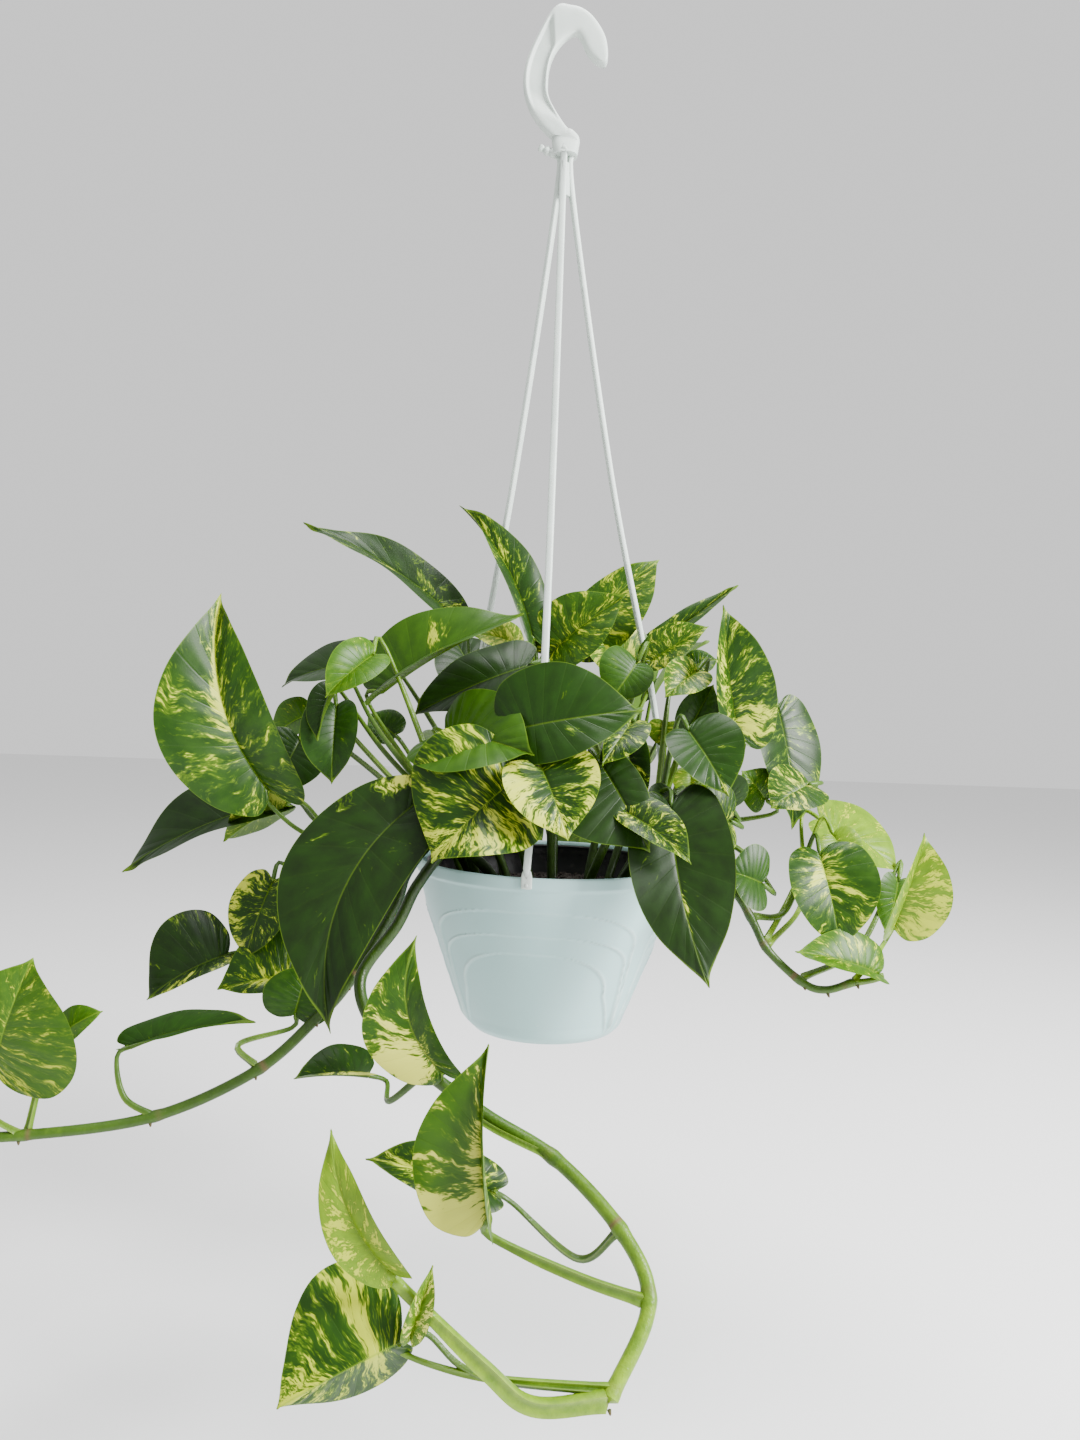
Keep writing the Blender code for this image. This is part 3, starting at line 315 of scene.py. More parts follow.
STEMS = {
    "vine_left": Stem(
        ((-46, -16, -48), (-49, -19, -22), (-60, -34, 6), (-76, -50, 15), (-91, -61, -4), (-98, -67, -26),
         (-122, -84, -69), (-140, -92, -90), (-173, -105, -119), (-230, -120, -143), (-302, -130, -152),
         (-334, -131, -153)),
        (3.6, 3),
        (
            Leaf(10, (-322, -120, -117), (-297, -128, -49), 76, (0, -1, .1), fold=(24, 6),
                 via=((-318, -130, -140),), halves=(1, 1.25),
                 look=Look(.6, .42, .15, ((.1, 0, .2, 1, .12),))),
            Leaf(6, (-204, -60, -60), (-250, -75, -87), 60, (-.2, -.8, .5), fold=(20, 15), droop=50,
                 via=((-150, -62, -46), (-186, -50, -42)), halves=(.35, 1.25),
                 look=Look(.12, .15, .35, ((.3, .8, .5, .5, .2), (.35, -.9, .2, .2, .12)))),
            Leaf(6, (-159, -65, -69), (-205, -78, -78), 62, (0, -.85, .5), fold=(30, 12), droop=20,
                 halves=(.4, 1), look=Look(.3, .35, .15, ((.45, .3, .25, .4, .2),))),
            Leaf(6, (-177, -58, -13), (-191, -66, -62), 42, (-.2, -.9, .3), via=((-136, -64, -40),),
                 look=Look(.2, .34, .3, ((.4, -.9, .5, .25, .12),))),
            Leaf(8, (-154, -88, -89), (-147, -80, -58), 44, (0, -1, .1), via=((-185, -100, -105),),
                 look=Look(.35, .15, .2)),
            Leaf(9, (-244, -115, -103), (-172, -110, -88), 35, (.1, -.2, 1), fold=(48, 30), droop=24,
                 via=((-246, -118, -132),), halves=(.9, .35), look=Look(.25, .12, .3)),
            Leaf(10, (-293, -100, -103), (-267, -100, -87), 24, (0, -.7, .7), look=Look(.6, .2, .3)),
        ),
    ),
    "vine_front": Stem(
        ((-24, -34, -48), (-28, -38, -22), (-47, -54, 5), (-64, -66, 14), (-82, -79, -8), (-93, -88, -32),
         (-112, -102, -62), (-98, -120, -88), (-65, -140, -105), (-31, -150, -124), (8, -165, -141),
         (43, -190, -168), (55, -210, -194), (34, -235, -228)),
        (3.4, 4),
        (
            Leaf(8, (-106, -105, -119), (-148, -115, -119), 44, (0, -.5, .85), fold=(56, 10), droop=20,
                 via=((-90, -122, -128),), look=Look(.2, .2, .5, ((.3, .8, .3, .5, .35),))),
            Leaf(10, (-58, -150, -100), (-73, -158, -22), 50, (0, -1, .1), fold=(12, 12), droop=25,
                 via=((-32, -156, -126),), sweep=.15, halves=(1.05, .5),
                 look=Look(.42, .25, .8, ((.4, .6, .16, .6, .34), (.75, .1, .3, .2, .05)))),
            Leaf(12, (-27, -200, -157), (-30, -203, -66), 70, (0, -1, .1), fold=(6, 86), droop=20,
                 via=((19, -205, -183),), sweep=.04, halves=(1, .5), stalk=1.5,
                 look=Look(.58, .34, .7, ((.28, .65, .15, .5, .36), (.55, .1, .3, .15, .1)))),
            Leaf(11, (-27, -172, -156), (-96, -170, -141), 46, (0, -.6, .8), fold=(24, 24), droop=20,
                 via=((20, -182, -186),), halves=(.8, .8),
                 look=Look(.2, .3, .3, ((.75, 0, .25, .5, .2),))),
            Leaf(13, (-72, -240, -165), (-101, -245, -95), 32, (-.1, -.95, .2), fold=(20, 24), droop=25,
                 via=((-2, -239, -227), (-26, -240, -209)), sweep=.08, halves=(.9, .8), stalk=2.2,
                 look=Look(.85, .42, .15, ((.5, .6, .2, .4, .1),))),
            Leaf(13, (-67, -235, -202), (-122, -250, -226), 84, (0, -.7, .7), fold=(-80, 8), droop=20,
                 via=((-28, -233, -218),), halves=(.8, 1.1),
                 look=Look(.32, .42, .12, ((.95, 0, .16, 1, .22), (.45, -.2, .06, .8, .2)))),
            Leaf(13, (-62, -235, -199), (-52, -236, -163), 16, (.2, -1, .1), fold=(40, 40), droop=10,
                 via=((-28, -233, -218),), look=Look(.7, .6, .8)),
        ),
    ),
    "vine_right": Stem(
        ((40, -16, -48), (44, -20, -22), (60, -32, 8), (80, -43, 17), (99, -51, 8), (119, -59, -10),
         (130, -62, -27), (140, -66, -45), (161, -72, -63), (175, -76, -66), (192, -80, -59)),
        (3.2, 2.4),
        (
            Leaf(7, (188, 0, 32), (239, -10, -2), 62, (.1, -.5, .85), fold=(10, 10), droop=40,
                 via=((172, -20, -20),), look=Look(.85, .45, .1)),
            Leaf(6, (173, -55, 16), (184, -72, -43), 64, (0, -.9, .35), via=((154, -50, -22),),
                 halves=(1, .8), look=Look(.35, .32, .25, ((.45, 0, .2, .5, .12),))),
            Leaf(8, (236, -20, -5), (225, -28, -39), 30, (.2, -.9, .3), via=((206, -40, -46),),
                 look=Look(.5, .2, .3)),
            Leaf(10, (224, -50, -30), (240, -55, 32), 58, (0, -1, .1), fold=(66, 6),
                 via=((208, -62, -48),), look=Look(.8, .5, .12, ((.4, -.7, .3, .5, .1),))),
            Leaf(10, (207, -75, -55), (152, -85, -41), 44, (0, -.6, .8), fold=(26, 26), droop=25,
                 halves=(.7, 1), look=Look(.6, .38, .15)),
            Leaf(7, (187, -34, 26), (199, -38, 2), 30, (0, -.8, .5), via=((162, -36, -10),),
                 look=Look(.8, .4, .3)),
        ),
    ),
    "stem_left": Stem(
        ((-56, 6, -48), (-58, 5, -22), (-70, 0, 10), (-86, -6, 26)),
        (3.2, 2.8),
        (
            Leaf(3, (-185, -45, 45), (-216, -55, 171), 92, (.3, -1, .15), fold=(17, 32), droop=22,
                 via=((-150, -30, 12),), sweep=.12, halves=(1, .66),
                 look=Look(.35, .33, .3, ((1, 0, .13, 1, .3), (.8, .05, .22, .16, .2),
                           (.6, .45, .07, .4, .06)))),
            Leaf(3, (-185, -20, 34), (-283, -35, -14), 74, (-.2, -.55, .8), via=((-150, -12, 18),),
                 halves=(.55, 1), look=Look(.1, .04, .3)),
            Leaf(2, (-178, -30, 33), (-216, -35, 8), 44, (0, .5, .85), via=((-130, -16, 0),),
                 look=Look(.5, .4, .5, ((.2, .8, .3, .5, .25),))),
            Leaf(3, (-174, -5, 76), (-188, -15, 38), 52, (0, -.9, .4), via=((-130, 0, 60),),
                 look=Look(.2, .1, .3)),
            Leaf(3, (-172, 14, 94), (-199, 12, 75), 40, (-.2, -.7, .7), via=((-132, 10, 70),),
                 look=Look(.6, .2, .3)),
        ),
    ),
    "stem_left_front": Stem(
        ((-42, -34, -48), (-45, -36, -22), (-54, -40, 8), (-68, -47, 32)),
        (3.2, 2.8),
        (
            Leaf(3, (-83, -90, 44), (-125, -125, -89), 94, (-.1, -1, .1), fold=(10, 10), droop=22,
                 via=((-76, -68, 52),), sweep=-.15, halves=(.66, .86),
                 look=Look(.07, .13, .7, ((.2, -.85, .16, .3, .25),))),
            Leaf(3, (-142, -46, 100), (-142, -54, 50), 44, (0, -.9, .4), fold=(24, 24),
                 via=((-110, -46, 72),), halves=(.8, 1), look=Look(.3, .1, .3)),
            Leaf(3, (-142, -52, 111), (-150, -62, 78), 30, (-.6, -.7, .3), fold=(50, 50),
                 via=((-112, -52, 84),), look=Look(.2, .08, .3)),
            Leaf(3, (-118, -54, 134), (-144, -74, 106), 38, (.3, -.7, .6), fold=(34, 34), droop=40,
                 look=Look(.62, .2, .4)),
            Leaf(3, (-115, -30, 111), (-22, -34, 165), 74, (.1, -.75, .65), fold=(6, 58), droop=26,
                 look=Look(.5, .08, .2, ((.6, .5, .06, .5, .2),))),
            Leaf(3, (-108, -14, 82), (-127, -12, 95), 30, (0, -.7, .7), look=Look(.35, .2, .3)),
        ),
    ),
    "stem_top_left": Stem(
        ((-26, 6, -48), (-28, 5, -20), (-40, 0, 12), (-54, -4, 46)),
        (3, 2.6),
        (
            Leaf(3, (-125, 10, 130), (-194, 20, 112), 60, (0, -.5, .85), fold=(16, 16), droop=40,
                 look=Look(.15, .05, .3)),
            Leaf(3, (-72, 24, 165), (-184, 30, 231), 54, (.2, -.6, .78), fold=(30, 20), droop=16, sweep=-.03,
                 halves=(1, .8), look=Look(.16, .22, .3, ((.35, 0, .2, 1, .06),))),
        ),
    ),
    "stem_centre_front": Stem(
        ((-8, -40, -48), (-10, -43, -22), (-17, -52, 8), (-24, -60, 32)),
        (3, 2.8),
        (
            Leaf(3, (-18, -26, 132), (-95, -30, 95), 60, (0, -.6, .8), droop=34, via=((-30, -48, 80),),
                 sweep=.05, look=Look(.1, .03, .3)),
            Leaf(3, (-27, -90, 90), (53, -98, 105), 72, (0, -.95, .36), fold=(10, 10), droop=24,
                 via=((-30, -76, 66),), halves=(1, .72), twist=-20, stalk=1.5,
                 look=Look(.22, .06, .2, ((.62, -.4, .05, .25, .2),))),
            Leaf(3, (-69, -62, 86), (-12, -113, 76), 84, (-.2, -.75, .6), fold=(20, 22), droop=22,
                 halves=(.8, .95), look=Look(.5, .05, .2)),
            Leaf(3, (-25, -92, 59), (-71, -118, 12), 104, (0, -.8, .55), fold=(4, 10), halves=(.72, 1),
                 twist=50, stalk=1.6,
                 look=Look(.22, .46, .3, ((.95, 0, .14, 1, .12), (.6, .6, .35, .5, .07)))),
            Leaf(3, (-9, -100, 71), (9, -124, 28), 66, (.1, -.85, .5), fold=(18, 14),
                 via=((-24, -84, 54),), halves=(.95, .85),
                 look=Look(.2, .34, .4, ((.5, -.9, .5, .4, .15), (.97, 0, .14, 1, .2),
                           (.45, .95, .45, .3, .13)))),
        ),
    ),
    "stem_centre_back": Stem(
        ((2, 20, -48), (2, 20, -20), (0, 18, 20), (-6, 14, 60)),
        (3, 2.6),
        (
            Leaf(3, (-17, 9, 153), (-72, 24, 246), 44, (.5, -.8, .3), fold=(44, 30), droop=20, sweep=-.06,
                 halves=(.8, 1), look=Look(.22, .22, .25, ((.9, 0, .3, 1, .14),))),
            Leaf(3, (-26, 28, 148), (-60, 20, 154), 34, (0, -.7, .7), look=Look(.8, .65, .4)),
            Leaf(3, (-4, 10, 141), (47, 0, 183), 58, (-.2, -.85, .5), fold=(26, 20), droop=24,
                 look=Look(.42, .42, .15)),
        ),
    ),
    "stem_top_right": Stem(
        ((26, 12, -48), (27, 13, -20), (34, 18, 20), (40, 24, 60)),
        (3, 2.6),
        (
            Leaf(3, (14, 49, 154), (75, 55, 216), 62, (-.2, -.9, .4), fold=(22, 14), halves=(.62, 1.1),
                 look=Look(.4, .52, .12)),
            Leaf(3, (62, 42, 132), (15, 36, 163), 50, (0, -.85, .5), look=Look(.6, .6, .35)),
            Leaf(3, (68, 48, 146), (134, 52, 198), 44, (-.4, -.7, .6), fold=(44, 44), droop=10,
                 halves=(.55, 1), look=Look(.3, .34, .25, ((.15, 0, .2, 1, .15),))),
            Leaf(3, (65, 0, 138), (105, 0, 164), 34, (-.2, -.8, .5), fold=(30, 30), droop=10,
                 look=Look(.4, .5, .3)),
            Leaf(3, (54, -27, 136), (36, -34, 109), 44, (0, -1, .1), fold=(8, 8), droop=40,
                 halves=(.72, 1), look=Look(.42, .12, .3)),
        ),
    ),
    "stem_right_front": Stem(
        ((20, -40, -48), (22, -43, -22), (32, -54, 10), (42, -62, 34)),
        (3, 2.8),
        (
            Leaf(3, (28, -84, 72), (59, -104, 20), 84, (.1, -.9, .4), fold=(20, 4), droop=20,
                 halves=(.42, 1), look=Look(.13, .03, .3)),
            Leaf(3, (46, -66, 86), (53, -85, 38), 38, (-.2, -.9, .3), fold=(20, 20), halves=(.72, 1),
                 look=Look(.12, .3, .5)),
            Leaf(3, (48, -72, 97), (29, -94, 70), 32, (0, -.8, .55), fold=(20, 20), droop=24,
                 halves=(1, .6), look=Look(.2, .4, .3)),
            Leaf(3, (43, -98, 44), (82, -118, 16), 36, (.1, -.7, .7), fold=(24, 10), halves=(1, .6),
                 look=Look(.15, .42, .5)),
            Leaf(3, (72, -88, 47), (95, -116, -57), 70, (.1, -1, .15), fold=(8, 8), droop=16, sweep=-.05,
                 halves=(1, .84), look=Look(.09, .08, .5, ((.75, .05, .12, .15, .14),))),
            Leaf(3, (74, -75, 53), (60, -88, 42), 24, (0, -.8, .5), look=Look(.15, .1, .3)),
        ),
    ),
    "stem_right": Stem(
        ((46, 2, -48), (50, 0, -22), (62, -10, 16), (76, -22, 46)),
        (3, 2.8),
        (
            Leaf(3, (92, -40, 131), (70, -54, 113), 32, (0, -.8, .5), fold=(24, 24),
                 look=Look(.5, .55, .6)),
            Leaf(3, (84, -68, 93), (107, -92, 54), 54, (0, -.9, .4), halves=(1, .76),
                 look=Look(.25, .12, .3, ((.95, 0, .12, 1, .25),))),
            Leaf(3, (90, -34, 94), (104, -36, 123), 30, (0, -.9, .3), fold=(30, 30),
                 look=Look(.4, .1, .3)),
            Leaf(3, (123, -29, 88), (109, -34, 176), 70, (.1, -1, .1), fold=(62, 6), droop=16, sweep=.03,
                 halves=(1, .86),
                 look=Look(.3, .38, .35, ((.35, -.3, .12, .5, .12), (.6, .6, .2, .3, .08)))),
            Leaf(3, (93, 4, 135), (113, 4, 141), 22, (-.2, -.8, .5), look=Look(.3, .3, .3)),
        ),
    ),
    "stem_right_outer": Stem(
        ((46, 24, -48), (50, 24, -22), (70, 14, 14), (92, 6, 30)),
        (3, 2.8),
        (
            Leaf(3, (155, 3, 109), (165, -12, 26), 58, (.5, -.8, .3), droop=24, via=((124, 6, 82),),
                 look=Look(.2, .3, .1)),
            Leaf(3, (169, -35, 59), (141, -52, 44), 42, (0, -.7, .7), droop=24, via=((136, -14, 52),),
                 look=Look(.35, .5, .6)),
            Leaf(3, (112, -70, 37), (84, -80, 42), 44, (0, -.9, .4), via=((104, -30, 44),),
                 look=Look(.2, .4, .3)),
            Leaf(3, (115, -55, 44), (98, -58, 62), 38, (0, -.9, .4), via=((108, -24, 40),),
                 look=Look(.15, .1, .3)),
            Leaf(3, (144, -20, 47), (127, -22, 66), 34, (0, -.8, .5), look=Look(.5, .3, .5)),
            Leaf(3, (134, -68, -2), (110, -74, 6), 46, (0, -.8, .5), fold=(16, 16), via=((122, -34, 16),),
                 look=Look(.35, .15, .3)),
            Leaf(3, (94, -12, 64), (94, -16, 44), 26, (0, -.9, .3), look=Look(.8, .4, .3)),
            Leaf(3, (78, 2, 96), (76, 0, 78), 26, (0, -.9, .3), look=Look(.7, .5, .4)),
        ),
    ),
}
# Where the three stems behind stand, and which leaves of each tier they carry
BACK_STEMS = {
    "stem_back_right": (((40, 40, -48), (44, 44, -22), (56, 56, 14), (64, 62, 40)), (0, 1)),
    "stem_back": (((4, 46, -48), (4, 50, -22), (4, 64, 14), (4, 72, 38)), (2,)),
    "stem_back_left": (((-28, 36, -48), (-32, 42, -22), (-42, 58, 14), (-46, 66, 40)), (3, 4)),
}


# Curves and grids

def unit(vectors):
    """Vectors at length one, along the last axis."""
    return vectors / np.maximum(np.linalg.norm(vectors, axis=-1, keepdims=True), 1e-9)


def smoothstep(low, high, value):
    """0 below low, 1 above high, and 3s^2 - 2s^3 between them."""
    share = np.clip((value - low) / (high - low), 0, 1)
    return share * share * (3 - 2 * share)


def hump(value, width):
    """The bell curve exp(-(value / width)^2)."""
    return np.exp(-((value / width) ** 2))


def round_end(distance, radius):
    """Width of a round end at a distance d from its tip, from 0 to 1: sqrt(1 - (1 - d / radius)^2)."""
    return np.sqrt(np.clip(1 - (1 - np.minimum(distance / radius, 1)) ** 2, 0, 1))


def angles_round(count):
    """Angles evenly round a circle, in radians."""
    return np.linspace(0, 2 * math.pi, count, endpoint=False)


def outward_way(degrees):
    """The level direction at so many degrees round from the front to the right."""
    turn = math.radians(degrees)
    return np.array([math.sin(turn), -math.cos(turn), 0])


def spline(padded, where):
    """Points of the cubic that runs through all but the first and last of a list, at `where` spans."""
    padded = np.asarray(padded, float)
    where = np.asarray(where, float)
    span = np.clip(where.astype(int), 0, len(padded) - 4)
    local = (where - span)[..., None]
    before, start, end, after = (padded[span + shift] for shift in range(4))
    return 0.5 * (
        2 * start + (end - before) * local
        + (2 * before - 5 * start + 4 * end - after) * local ** 2
        + (3 * start - before - 3 * end + after) * local ** 3
    )


def with_ends(points):
    """A list of points with one more before its start and after its end, in line with the last two."""
    points = np.asarray(points, float)
    return np.vstack([2 * points[0] - points[1], points, 2 * points[-1] - points[-2]])


def smooth_path(points, step):
    """Places along the smooth curve through the points, about one step apart."""
    lengths = np.linalg.norm(np.diff(np.asarray(points, float), axis=0), axis=1)
    pieces = np.maximum(1, np.round(lengths / step)).astype(int)
    where = np.concatenate([number + np.arange(count) / count for number, count in enumerate(pieces)])
    return spline(with_ends(points), np.append(where, len(points) - 1))


def run_of(places):
    """Distance along a path at each of its places."""
    return np.append(0, np.cumsum(np.linalg.norm(np.diff(places, axis=0), axis=1)))


def evenly(points, shares):
    """Points of the smooth curve through a list, at shares of its whole run."""
    fine = smooth_path(points, 0.5)
    run = run_of(fine)
    return np.stack([np.interp(shares * run[-1], run, fine[:, axis]) for axis in range(3)], axis=-1)


def carried_sides(places, first_side):
    """A path's direction at each place, and a side direction carried along it with little turn."""
    ahead = unit(np.gradient(places, axis=0))
    sides = []
    side = np.asarray(first_side, float)
    for direction in ahead:
        side = unit(side - side.dot(direction) * direction)
        sides.append(side)
    return ahead, np.array(sides)


def rings(places, sides, ahead, across, upward):
    """Rings round a path: each ring's points lie `across` to the side and `upward` along side x ahead."""
    up = np.cross(ahead, sides)
    return places[:, None] + across[..., None] * sides[:, None] + upward[..., None] * up[:, None]


def turned_rings(profile, steps):
    """Rings of a turned shape: each (radius, height) of the profile swept round the Z axis."""
    profile = np.asarray(profile, float)
    angle = angles_round(steps)
    radius = profile[:, :1]
    return np.stack([radius * np.sin(angle), -radius * np.cos(angle),
                     np.broadcast_to(profile[:, 1:], (len(profile), steps))], axis=-1)


def along_profile(profile, step):
    """Points along straight runs of a profile, about one step apart."""
    profile = np.asarray(profile, float)
    lengths = np.linalg.norm(np.diff(profile, axis=0), axis=1)
    runs = []
    for start, end, length in zip(profile, profile[1:], lengths):
        count = max(1, round(length / step))
        runs.append(start + (end - start) * (np.arange(count) / count)[:, None])
    return np.vstack(runs + [profile[-1:]])


def superellipse(count, power):
    """Across and upward, from -1 to 1, of a ring with flat sides: cosine and sine, each to a power."""
    angle = angles_round(count)
    across, upward = np.cos(angle), np.sin(angle)
    return np.sign(across) * np.abs(across) ** power, np.sign(upward) * np.abs(upward) ** power


def waves(points, scale, seed):
    """Smooth bumps: a sum of six sines in directions drawn from a seed, from -1 to 1."""
    draw = np.random.default_rng(seed)
    directions = draw.normal(size=(6, 3)) / scale
    phases = draw.uniform(0, 2 * math.pi, 6)
    return np.sin(points @ directions.T + phases).mean(axis=-1) * 2


def degrees_off_straps(angle):
    """How many degrees each angle is away from the nearest strap."""
    return np.min([np.abs((angle - azimuth + 180) % 360 - 180) for azimuth, _ in STRAPS], axis=0)


class Shape:
    """Closed shells gathered from rings of points, with values at the points, and made into one piece."""

    def __init__(self):
        self.points = []
        self.corners = {3: [], 4: []}
        self.values = {}
        self.count = 0

    def wrap(self, ring_points, **values):
        """Add a shell: rings of points closed round, the first and the last drawn together to a point."""
        rows, columns = ring_points.shape[:2]
        ring_points = ring_points.copy()
        ring_points[[0, -1]] = ring_points[[0, -1]].mean(axis=1, keepdims=True)
        index = np.arange(rows * columns).reshape(rows, columns)
        index[0] = index[0, 0]
        index[-1] = index[-1, 0]
        following = np.roll(index, -1, axis=1)
        quads = np.stack([index[:-1], following[:-1], following[1:], index[1:]], axis=-1)
        first, middle, last = quads[0][:, [0, 2, 3]], quads[1:-1].reshape(-1, 4), quads[-1][:, :3]
        flat = ring_points.reshape(-1, 3)
        inside_out = self.volume(flat - flat.mean(axis=0), middle) < 0
        used = np.unique(index)
        place = np.zeros(rows * columns, int)
        place[used] = np.arange(len(used)) + self.count
        for faces in (first, middle, last):
            if inside_out:
                faces = faces[:, ::-1]
            self.corners[faces.shape[1]].append(place[faces])
        self.points.append(flat[used])
        for name, value in values.items():
            value = np.asarray(value, float)
            size = value.shape[2:] if value.ndim > 2 else ()
            spread = np.broadcast_to(value, (rows, columns) + size).reshape((rows * columns,) + size)
            self.values.setdefault(name, []).append(spread[used])
        self.count += len(used)

    @staticmethod
    def volume(points, quads):
        """Six times the volume between quads and the origin, negative where they face inwards."""
        a, b, c, d = (points[quads[:, corner]] for corner in range(4))
        return np.einsum("ij,ij->", a, np.cross(b, c)) + np.einsum("ij,ij->", a, np.cross(c, d))

    def piece(self, name, finish, sharp=SHARP_EDGE):
        """Make the mesh and its object, shaded smooth except over edges sharper than so many degrees."""
        points = np.concatenate(self.points) * MM
        triangles = np.concatenate(self.corners[3])
        quads = np.concatenate(self.corners[4])
        mesh = bpy.data.meshes.new(name)
        mesh.vertices.add(len(points))
        mesh.vertices.foreach_set("co", points.astype(np.float32).ravel())
        loops = np.concatenate([triangles.ravel(), quads.ravel()])
        mesh.loops.add(len(loops))
        mesh.loops.foreach_set("vertex_index", loops.astype(np.int32))
        starts = np.concatenate([np.arange(len(triangles)) * 3, triangles.size + np.arange(len(quads)) * 4])
        mesh.polygons.add(len(starts))
        mesh.polygons.foreach_set("loop_start", starts.astype(np.int32))
        for key, chunks in self.values.items():
            value = np.concatenate(chunks)
            kind, field = ("FLOAT", "value") if value.ndim == 1 else ("FLOAT_VECTOR", "vector")
            attribute = mesh.attributes.new(key, kind, "POINT")
            attribute.data.foreach_set(field, value.astype(np.float32).ravel())
        mesh.update(calc_edges=True)
        mesh.validate()
        mesh.shade_smooth()
        mesh.set_sharp_from_angle(angle=math.radians(sharp))
        mesh.materials.append(finish)
        thing = bpy.data.objects.new(name, mesh)
        bpy.context.scene.collection.objects.link(thing)
        return thing


def at_rim(points):
    """Points given from the rim's centre, put in the part's frame, both in millimetres."""
    return np.asarray(points, float) - (0, 0, RIM_DROP)


def dress(thing, slot, *nodes):
    """Let a piece ride with the part and stand for the part's own nodes, which it hides; the slot is not
    used.
    """
    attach(thing, "root")
    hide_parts(*nodes)


# Materials

class Value:
    """A number in a material's nodes, so that shader maths reads as Python expressions."""

    def __init__(self, paint, socket):
        self.paint = paint
        self.socket = socket

    def maths(self, operation, *others):
        node = self.paint.tree.nodes.new("ShaderNodeMath")
        node.operation = operation
        for socket, value in zip(node.inputs, (self, *others)):
            self.paint.feed(socket, value)
        return Value(self.paint, node.outputs[0])

    def __add__(self, other):
        return self.maths("ADD", other)

    def __sub__(self, other):
        return self.maths("SUBTRACT", other)

    def __mul__(self, other):
        return self.maths("MULTIPLY", other)

    def __rsub__(self, other):
        return (self * -1) + other

    __radd__ = __add__
    __rmul__ = __mul__

    def absolute(self):
        return self.maths("ABSOLUTE")

    def sine(self):
        return self.maths("SINE")

    def between(self, low, high):
        """0 below low, 1 above high, smooth between; the other way round if low is above high."""
        node = self.paint.node("ShaderNodeMapRange", {"interpolation_type": "SMOOTHSTEP"},
                               {"Value": self, "From Min": low, "From Max": high})
        return Value(self.paint, node.outputs[0])


class Paint:
    """One material under construction."""

    def __init__(self, name):
        self.material = bpy.data.materials.new(name)
        self.material.use_nodes = True
        self.tree = self.material.node_tree
        self.shader = self.tree.nodes["Principled BSDF"]

    def feed(self, socket, value):
        """Set a socket, or link it to a value's socket or another node's output."""
        if isinstance(value, Value):
            value = value.socket
        if isinstance(value, bpy.types.NodeSocket):
            self.tree.links.new(value, socket)
        elif isinstance(value, tuple) and socket.type == "RGBA" and len(value) == 3:
            socket.default_value = (*value, 1)
        else:
            socket.default_value = value

    def node(self, kind, settings, sockets):
        """Add a node: its settings first, a ramp's stops among them, and then its sockets."""
        node = self.tree.nodes.new(kind)
        for field, value in settings.items():
            if field == "stops":
                while len(node.color_ramp.elements) < len(value):
                    node.color_ramp.elements.new(1)
                for element, (place, colour) in zip(node.color_ramp.elements, value):
                    element.position = place
                    element.color = (*colour, 1)
            else:
                setattr(node, field, value)
        for name, value in sockets.items():
            socket = next(item for item in node.inputs if item.name == name and item.enabled)
            self.feed(socket, value)
        return node

    def parts(self, name):
        """The three numbers of a vector kept at the mesh's points."""
        source = self.node("ShaderNodeAttribute", {"attribute_name": name}, {})
        split = self.node("ShaderNodeSeparateXYZ", {}, {"Vector": source.outputs["Vector"]})
        return [Value(self, output) for output in split.outputs]

    def number(self, name):
        """A number kept at the mesh's points."""
        source = self.node("ShaderNodeAttribute", {"attribute_name": name}, {})
        return Value(self, source.outputs["Fac"])

    def vector(self, x, y, z):
        """A vector of three values."""
        return self.node("ShaderNodeCombineXYZ", {}, {"X": x, "Y": y, "Z": z}).outputs[0]

    def place(self):
        """The point's place in the part's frame, in metres."""
        return self.node("ShaderNodeTexCoord", {}, {}).outputs["Object"]

    def noise(self, vector, scale, detail=2.0, roughness=0.5):
        """Cloudy noise, mostly from 0.3 to 0.7."""
        node = self.node("ShaderNodeTexNoise", {},
                         {"Vector": vector, "Scale": scale, "Detail": detail, "Roughness": roughness})
        return Value(self, node.outputs["Fac"])

    def mix(self, share, first, second):
        """A colour between two colours."""
        node = self.node("ShaderNodeMix", {"data_type": "RGBA"}, {"Factor": share, "A": first, "B": second})
        return next(output for output in node.outputs if output.enabled)

    def ramp(self, share, stops):
        """A colour from a ramp of (place, colour) stops."""
        return self.node("ShaderNodeValToRGB", {"stops": stops}, {"Fac": share}).outputs["Color"]

    def finish(self, colour, roughness, height=None, depth=0.0, **constants):
        """Feed the shader: colour, roughness, a bump of a height in shares of a depth in metres."""
        self.feed(self.shader.inputs["Base Color"], colour)
        self.feed(self.shader.inputs["Roughness"], roughness)
        if height is not None:
            bump = self.node("ShaderNodeBump", {}, {"Height": height, "Distance": depth})
            self.feed(self.shader.inputs["Normal"], bump.outputs[0])
        for name, value in constants.items():
            self.shader.inputs[name.replace("_", " ")].default_value = value
        return self.material


DARK_GREEN = (0.0050, 0.0135, 0.0016)
DEEP_GREEN = (0.0095, 0.036, 0.0012)
FRESH_GREEN = (0.032, 0.092, 0.0012)
LIME_GREEN = (0.17, 0.29, 0.002)
LEAF_GREENS = ((0, DARK_GREEN), (0.3, DEEP_GREEN), (0.62, FRESH_GREEN), (1, LIME_GREEN))
SPLASH_GREEN = (0.085, 0.165, 0.002)
SPLASH_YELLOW = (0.36, 0.42, 0.006)
SPLASH_CREAM = (0.62, 0.62, 0.11)
UNDERSIDE = (0.060, 0.115, 0.008)
RIB_GREEN = (0.13, 0.23, 0.010)
